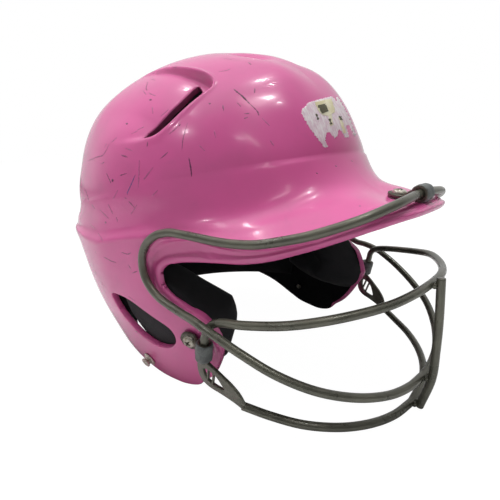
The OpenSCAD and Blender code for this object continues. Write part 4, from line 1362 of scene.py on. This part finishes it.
FAINT = [
    (0.7, (152.2, 106.6), (153.1, 113.8)), (0.6, (139.3, 160.2), (138.2, 188)),
    (0.6, (153, 167.4), (145.5, 177), (143, 179.7)), (0.5, (173.2, 67.3), (176.8, 67.5)),
    (0.7, (108, 204), (113, 214)), (0.6, (100, 210), (109, 219)), (0.5, (118, 190), (113, 199)),
    (0.6, (98, 233), (103, 241)), (0.5, (137, 205), (131, 214)), (0.5, (131, 134), (139, 130)),
    (0.6, (125, 148), (133, 151)), (0.5, (262, 118), (270, 126)), (0.5, (199, 145), (205, 151)),
    (0.5, (152, 196), (158, 190)), (0.6, (90, 224), (96, 230)), (0.5, (214, 130), (216, 138)),
    (0.6, (270, 140), (274, 146)), (0.5, (100, 281), (105, 287)), (0.5, (128, 296), (135, 301)),
]
PEN = [(0.5, (135.4, 174.8), (131.6, 183.6), (127.8, 192), (127.4, 194.6))]
scratches("scuffs_strong", STRONG, M["mark"])
scratches("scuffs_medium", MEDIUM, M["rub"])
scratches("scuffs_faint", FAINT, M["haze"])
scratches("pen_line", PEN, M["pen"])


def within(line, x, y, wave):
    """Whether places lie inside an outline, with its edges moved sideways by wave."""
    inside = np.zeros(x.shape, bool)
    for (x0, y0), (x1, y1) in zip(line, np.roll(line, -1, 0)):
        crosses = (y0 > y) != (y1 > y)
        at = x0 + (y - y0) * (x1 - x0) / (y1 - y0 if y1 != y0 else 1e-9)
        inside ^= crosses & (x + wave < at)
    return inside


def decal(name, outline, lift, mat, rough, seed, step=0.55):
    """A thin closed sheet with torn edges over the pixels inside an outline, following the shell."""
    line = np.asarray(outline, float)
    rng = np.random.default_rng(seed)
    lo, hi = line.min(0) - 1, line.max(0) + 1
    x, y = np.meshgrid(np.arange(lo[0], hi[0], step), np.arange(lo[1], hi[1], step), indexing="ij")
    wave = np.sin(x * 2.1 + y * 0.7) + np.sin(x * 1.1 - y * 1.9) + 0.8 * rng.normal(size=x.shape)
    inside = within(line, x, y, rough * wave)
    cell = inside[:-1, :-1] & inside[1:, :-1] & inside[1:, 1:] & inside[:-1, 1:]
    corners = [(0, 0), (1, 0), (1, 1), (0, 1)]
    need = np.zeros(x.shape, bool)
    for di, dj in corners:
        need[di:di + cell.shape[0], dj:dj + cell.shape[1]] |= cell
    ids = -np.ones(x.shape, int)
    pts, out = [], []
    for i, j in zip(*np.nonzero(need)):
        p, n, d = sight((x[i, j], y[i, j]))
        if p is not None:
            ids[i, j] = len(pts)
            pts.append(p)
            out.append(n)
    pts, out = np.array(pts), np.array(out)
    i, j = np.nonzero(cell)
    f = np.stack([ids[i + di, j + dj] for di, dj in corners], -1)
    f = f[(f >= 0).all(1)]
    facing = np.cross(pts[f[:, 1]] - pts[f[:, 0]], pts[f[:, 2]] - pts[f[:, 0]])
    if (facing * out[f[:, 0]]).sum() < 0:
        f = f[:, ::-1]
    m = len(pts)
    lift = lift + 0.012 * rng.normal(size=m)
    rim = open_edges(f)
    wall = np.stack([rim[:, 1], rim[:, 0], rim[:, 0] + m, rim[:, 1] + m], -1)
    verts = np.concatenate([pts + lift[:, None] * out, pts - 0.06 * out])
    mesh(name, verts, [f, f[:, ::-1] + m, wall], [mat])


TORN = [
    (302.8, 108), (301, 112.8), (304.8, 120.7), (310.4, 129.9), (318.6, 140.6), (324.7, 148.5),
    (328.5, 147), (325.7, 140.6), (327, 133.5), (329.5, 132.4), (334.4, 139.1), (337.4, 136),
    (338.5, 129.9), (341, 131.4), (345.4, 138.6), (349.9, 137), (346.1, 125.3), (348.7, 125.8),
    (353.5, 136), (356.6, 135.3), (350.2, 118.7), (344.1, 106.9), (339, 98.3), (335.9, 96),
    (336.2, 100.8), (332.3, 96), (321.6, 98.5), (311.4, 101.3), (307.6, 102.6), (305.8, 105.9),
]
CREAM = [
    (314, 102.3), (331.8, 98.3), (335.4, 112), (328.8, 116.6), (322.7, 115.6), (318.6, 112.6),
]
STRIPS = [
    [(327.5, 114), (331.5, 113), (333.5, 125.5), (329.5, 126.5)],
    [(337.5, 116.5), (342, 119), (346.5, 133), (343.5, 134)],
]
OLIVE = [
    [(317, 105.4), (325.2, 103.6), (328.8, 111.5), (321.6, 114.1)],
    [(327.8, 118.7), (330.3, 118.7), (332.3, 124.3), (330.3, 125.3)],
    [(315, 113.6), (317, 113.9), (319, 119.6), (317.4, 120.2)],
    [(338, 115.6), (341.5, 116.6), (342.4, 120.7), (339.8, 120.2)],
]
decal("torn_sticker", TORN, 0.08, M["paper"], 0.28, 3)
decal("sticker_face", CREAM, 0.20, M["label"], 0.18, 5)
for k, line in enumerate(STRIPS):
    decal(f"sticker_strip_{k}", line, 0.20, M["label"], 0.15, 8 + k)
for k, line in enumerate(OLIVE):
    decal(f"sticker_print_{k}", line, 0.32, M["olive"], 0.2, 11 + k, step=0.4)


# Floor, world, lights
WHITE = (1, 1, 1, 1)
FLOOR_R = 4.0
FLOOR_GLOW = 1.1
FLOOR_SEEN = 0.9


def floor_look(w):
    patches = w.span(w.noise(3, 2), 0.3, 0.7)
    return {"Base Color": w.mix(patches, (0.74, 0.74, 0.74, 1), (0.77, 0.77, 0.77, 1)), "Roughness": 0.8,
            "Specular IOR Level": 0.1}


def white_page(w, shader):
    """Brightens the floor for the camera alone, so that it reads as the photo's white ground."""
    seen = w.math("MULTIPLY", w.node("ShaderNodeLightPath").outputs["Is Camera Ray"], FLOOR_SEEN)
    return w.either(seen, shader, w.node("ShaderNodeEmission", {0: WHITE, 1: FLOOR_GLOW}).outputs[0])


bpy.ops.mesh.primitive_circle_add(vertices=96, radius=FLOOR_R, fill_type="NGON", location=(0, 0, -0.0002))
floor = bpy.context.object
floor.name = "floor"
floor.data.materials.append(material("floor_pale", floor_look, white_page))

world = bpy.data.worlds.new("studio")
scene.world = world
world.use_nodes = True
world.node_tree.nodes.clear()
w = Net(world.node_tree, "Generated")
ray = w.node("ShaderNodeLightPath").outputs
# the room is brighter overhead; reflections see a pale backdrop behind the helmet and a dim hall in front
height = w.node("ShaderNodeSeparateXYZ", {0: w.coord}).outputs[2]
away = w.node("ShaderNodeVectorMath", {0: w.coord, 1: (-back[0], -back[1], 0.45)}, operation="DOT_PRODUCT")
room, hall, page = (w.node("ShaderNodeBackground", {0: colour, 1: 1.0}).outputs[0] for colour in (
    w.span(height, -0.1, 0.9, 0.10, 0.30, smooth=False),
    w.span(away.outputs["Value"], -0.35, 0.75, 0.12, 0.72), WHITE))
seen = w.either(ray["Is Camera Ray"], w.either(ray["Is Glossy Ray"], room, hall), page)
w.node("ShaderNodeOutputWorld", {0: seen})


def lamp(name, at, size, power, aim=(0, 0, 0.12)):
    d = bpy.data.lights.new(name, "AREA")
    d.shape = "DISK"
    d.size = size
    d.energy = power
    o = bpy.data.objects.new(name, d)
    scene.collection.objects.link(o)
    o.location = at
    o.rotation_euler = (Vector(aim) - Vector(at)).to_track_quat("-Z", "Y").to_euler()
    return o


# How far from the shell the lamps of the highlights stand, in metres
LAMP_FAR = 1.6


def reflecting(px):
    """The spot that a pixel shows, and where a lamp stands whose light it reflects there, in metres."""
    spot, n, d = sight(px)
    return spot * MM, spot * MM + LAMP_FAR * (d - 2 * (d @ n) * n)


def glint(name, px, size, power):
    """A small lamp placed so that its highlight falls where the photograph shows one."""
    spot, at = reflecting(px)
    lamp(name, at, size, power, spot).visible_diffuse = False


def streak(name, px0, px1, wide, power, colour=WHITE[:3]):
    """A strip lamp whose reflection runs between two pixels of the picture."""
    (spot0, end0), (spot1, end1) = reflecting(px0), reflecting(px1)
    mid, spot = (end0 + end1) / 2, (spot0 + spot1) / 2
    o = lamp(name, mid, float(np.linalg.norm(end1 - end0)), power, spot)
    o.data.shape = "RECTANGLE"
    o.data.size_y = wide
    o.data.color = colour
    o.visible_diffuse = False
    z = unit(mid - spot)
    x = unit((end1 - end0) - ((end1 - end0) @ z) * z)
    o.matrix_world = stand((x, np.cross(z, x), z), mid)


lamp("top", (-0.1, 0.25, 1.7), 1.5, 31).visible_glossy = False
lamp("side", (-1.6, 1.0, 0.7), 1.2, 2.5).visible_glossy = False
glint("spot_brow", (262, 80), 0.07, 1.1)
glint("spot_brow_low", (270, 98), 0.07, 1.9)
glint("spot_temple", (185, 131), 0.07, 1.4)
glint("spot_bill", (310, 188.5), 0.04, 0.5)
glint("spot_bill_low", (315, 193.5), 0.04, 0.4)
streak("strip_brow", (238, 97), (259, 106), 0.10, 0.6, (1.0, 0.9, 0.8))
streak("strip_side", (245, 134), (259, 146), 0.08, 0.45, (1.0, 0.92, 0.86))
streak("strip_root", (251, 227), (264, 239), 0.05, 0.7)
streak("strip_fold", (216, 222), (227, 226), 0.06, 0.6)
streak("strip_bill", (271, 200), (284, 193), 0.06, 0.4)

scene.view_settings.view_transform = "Standard"
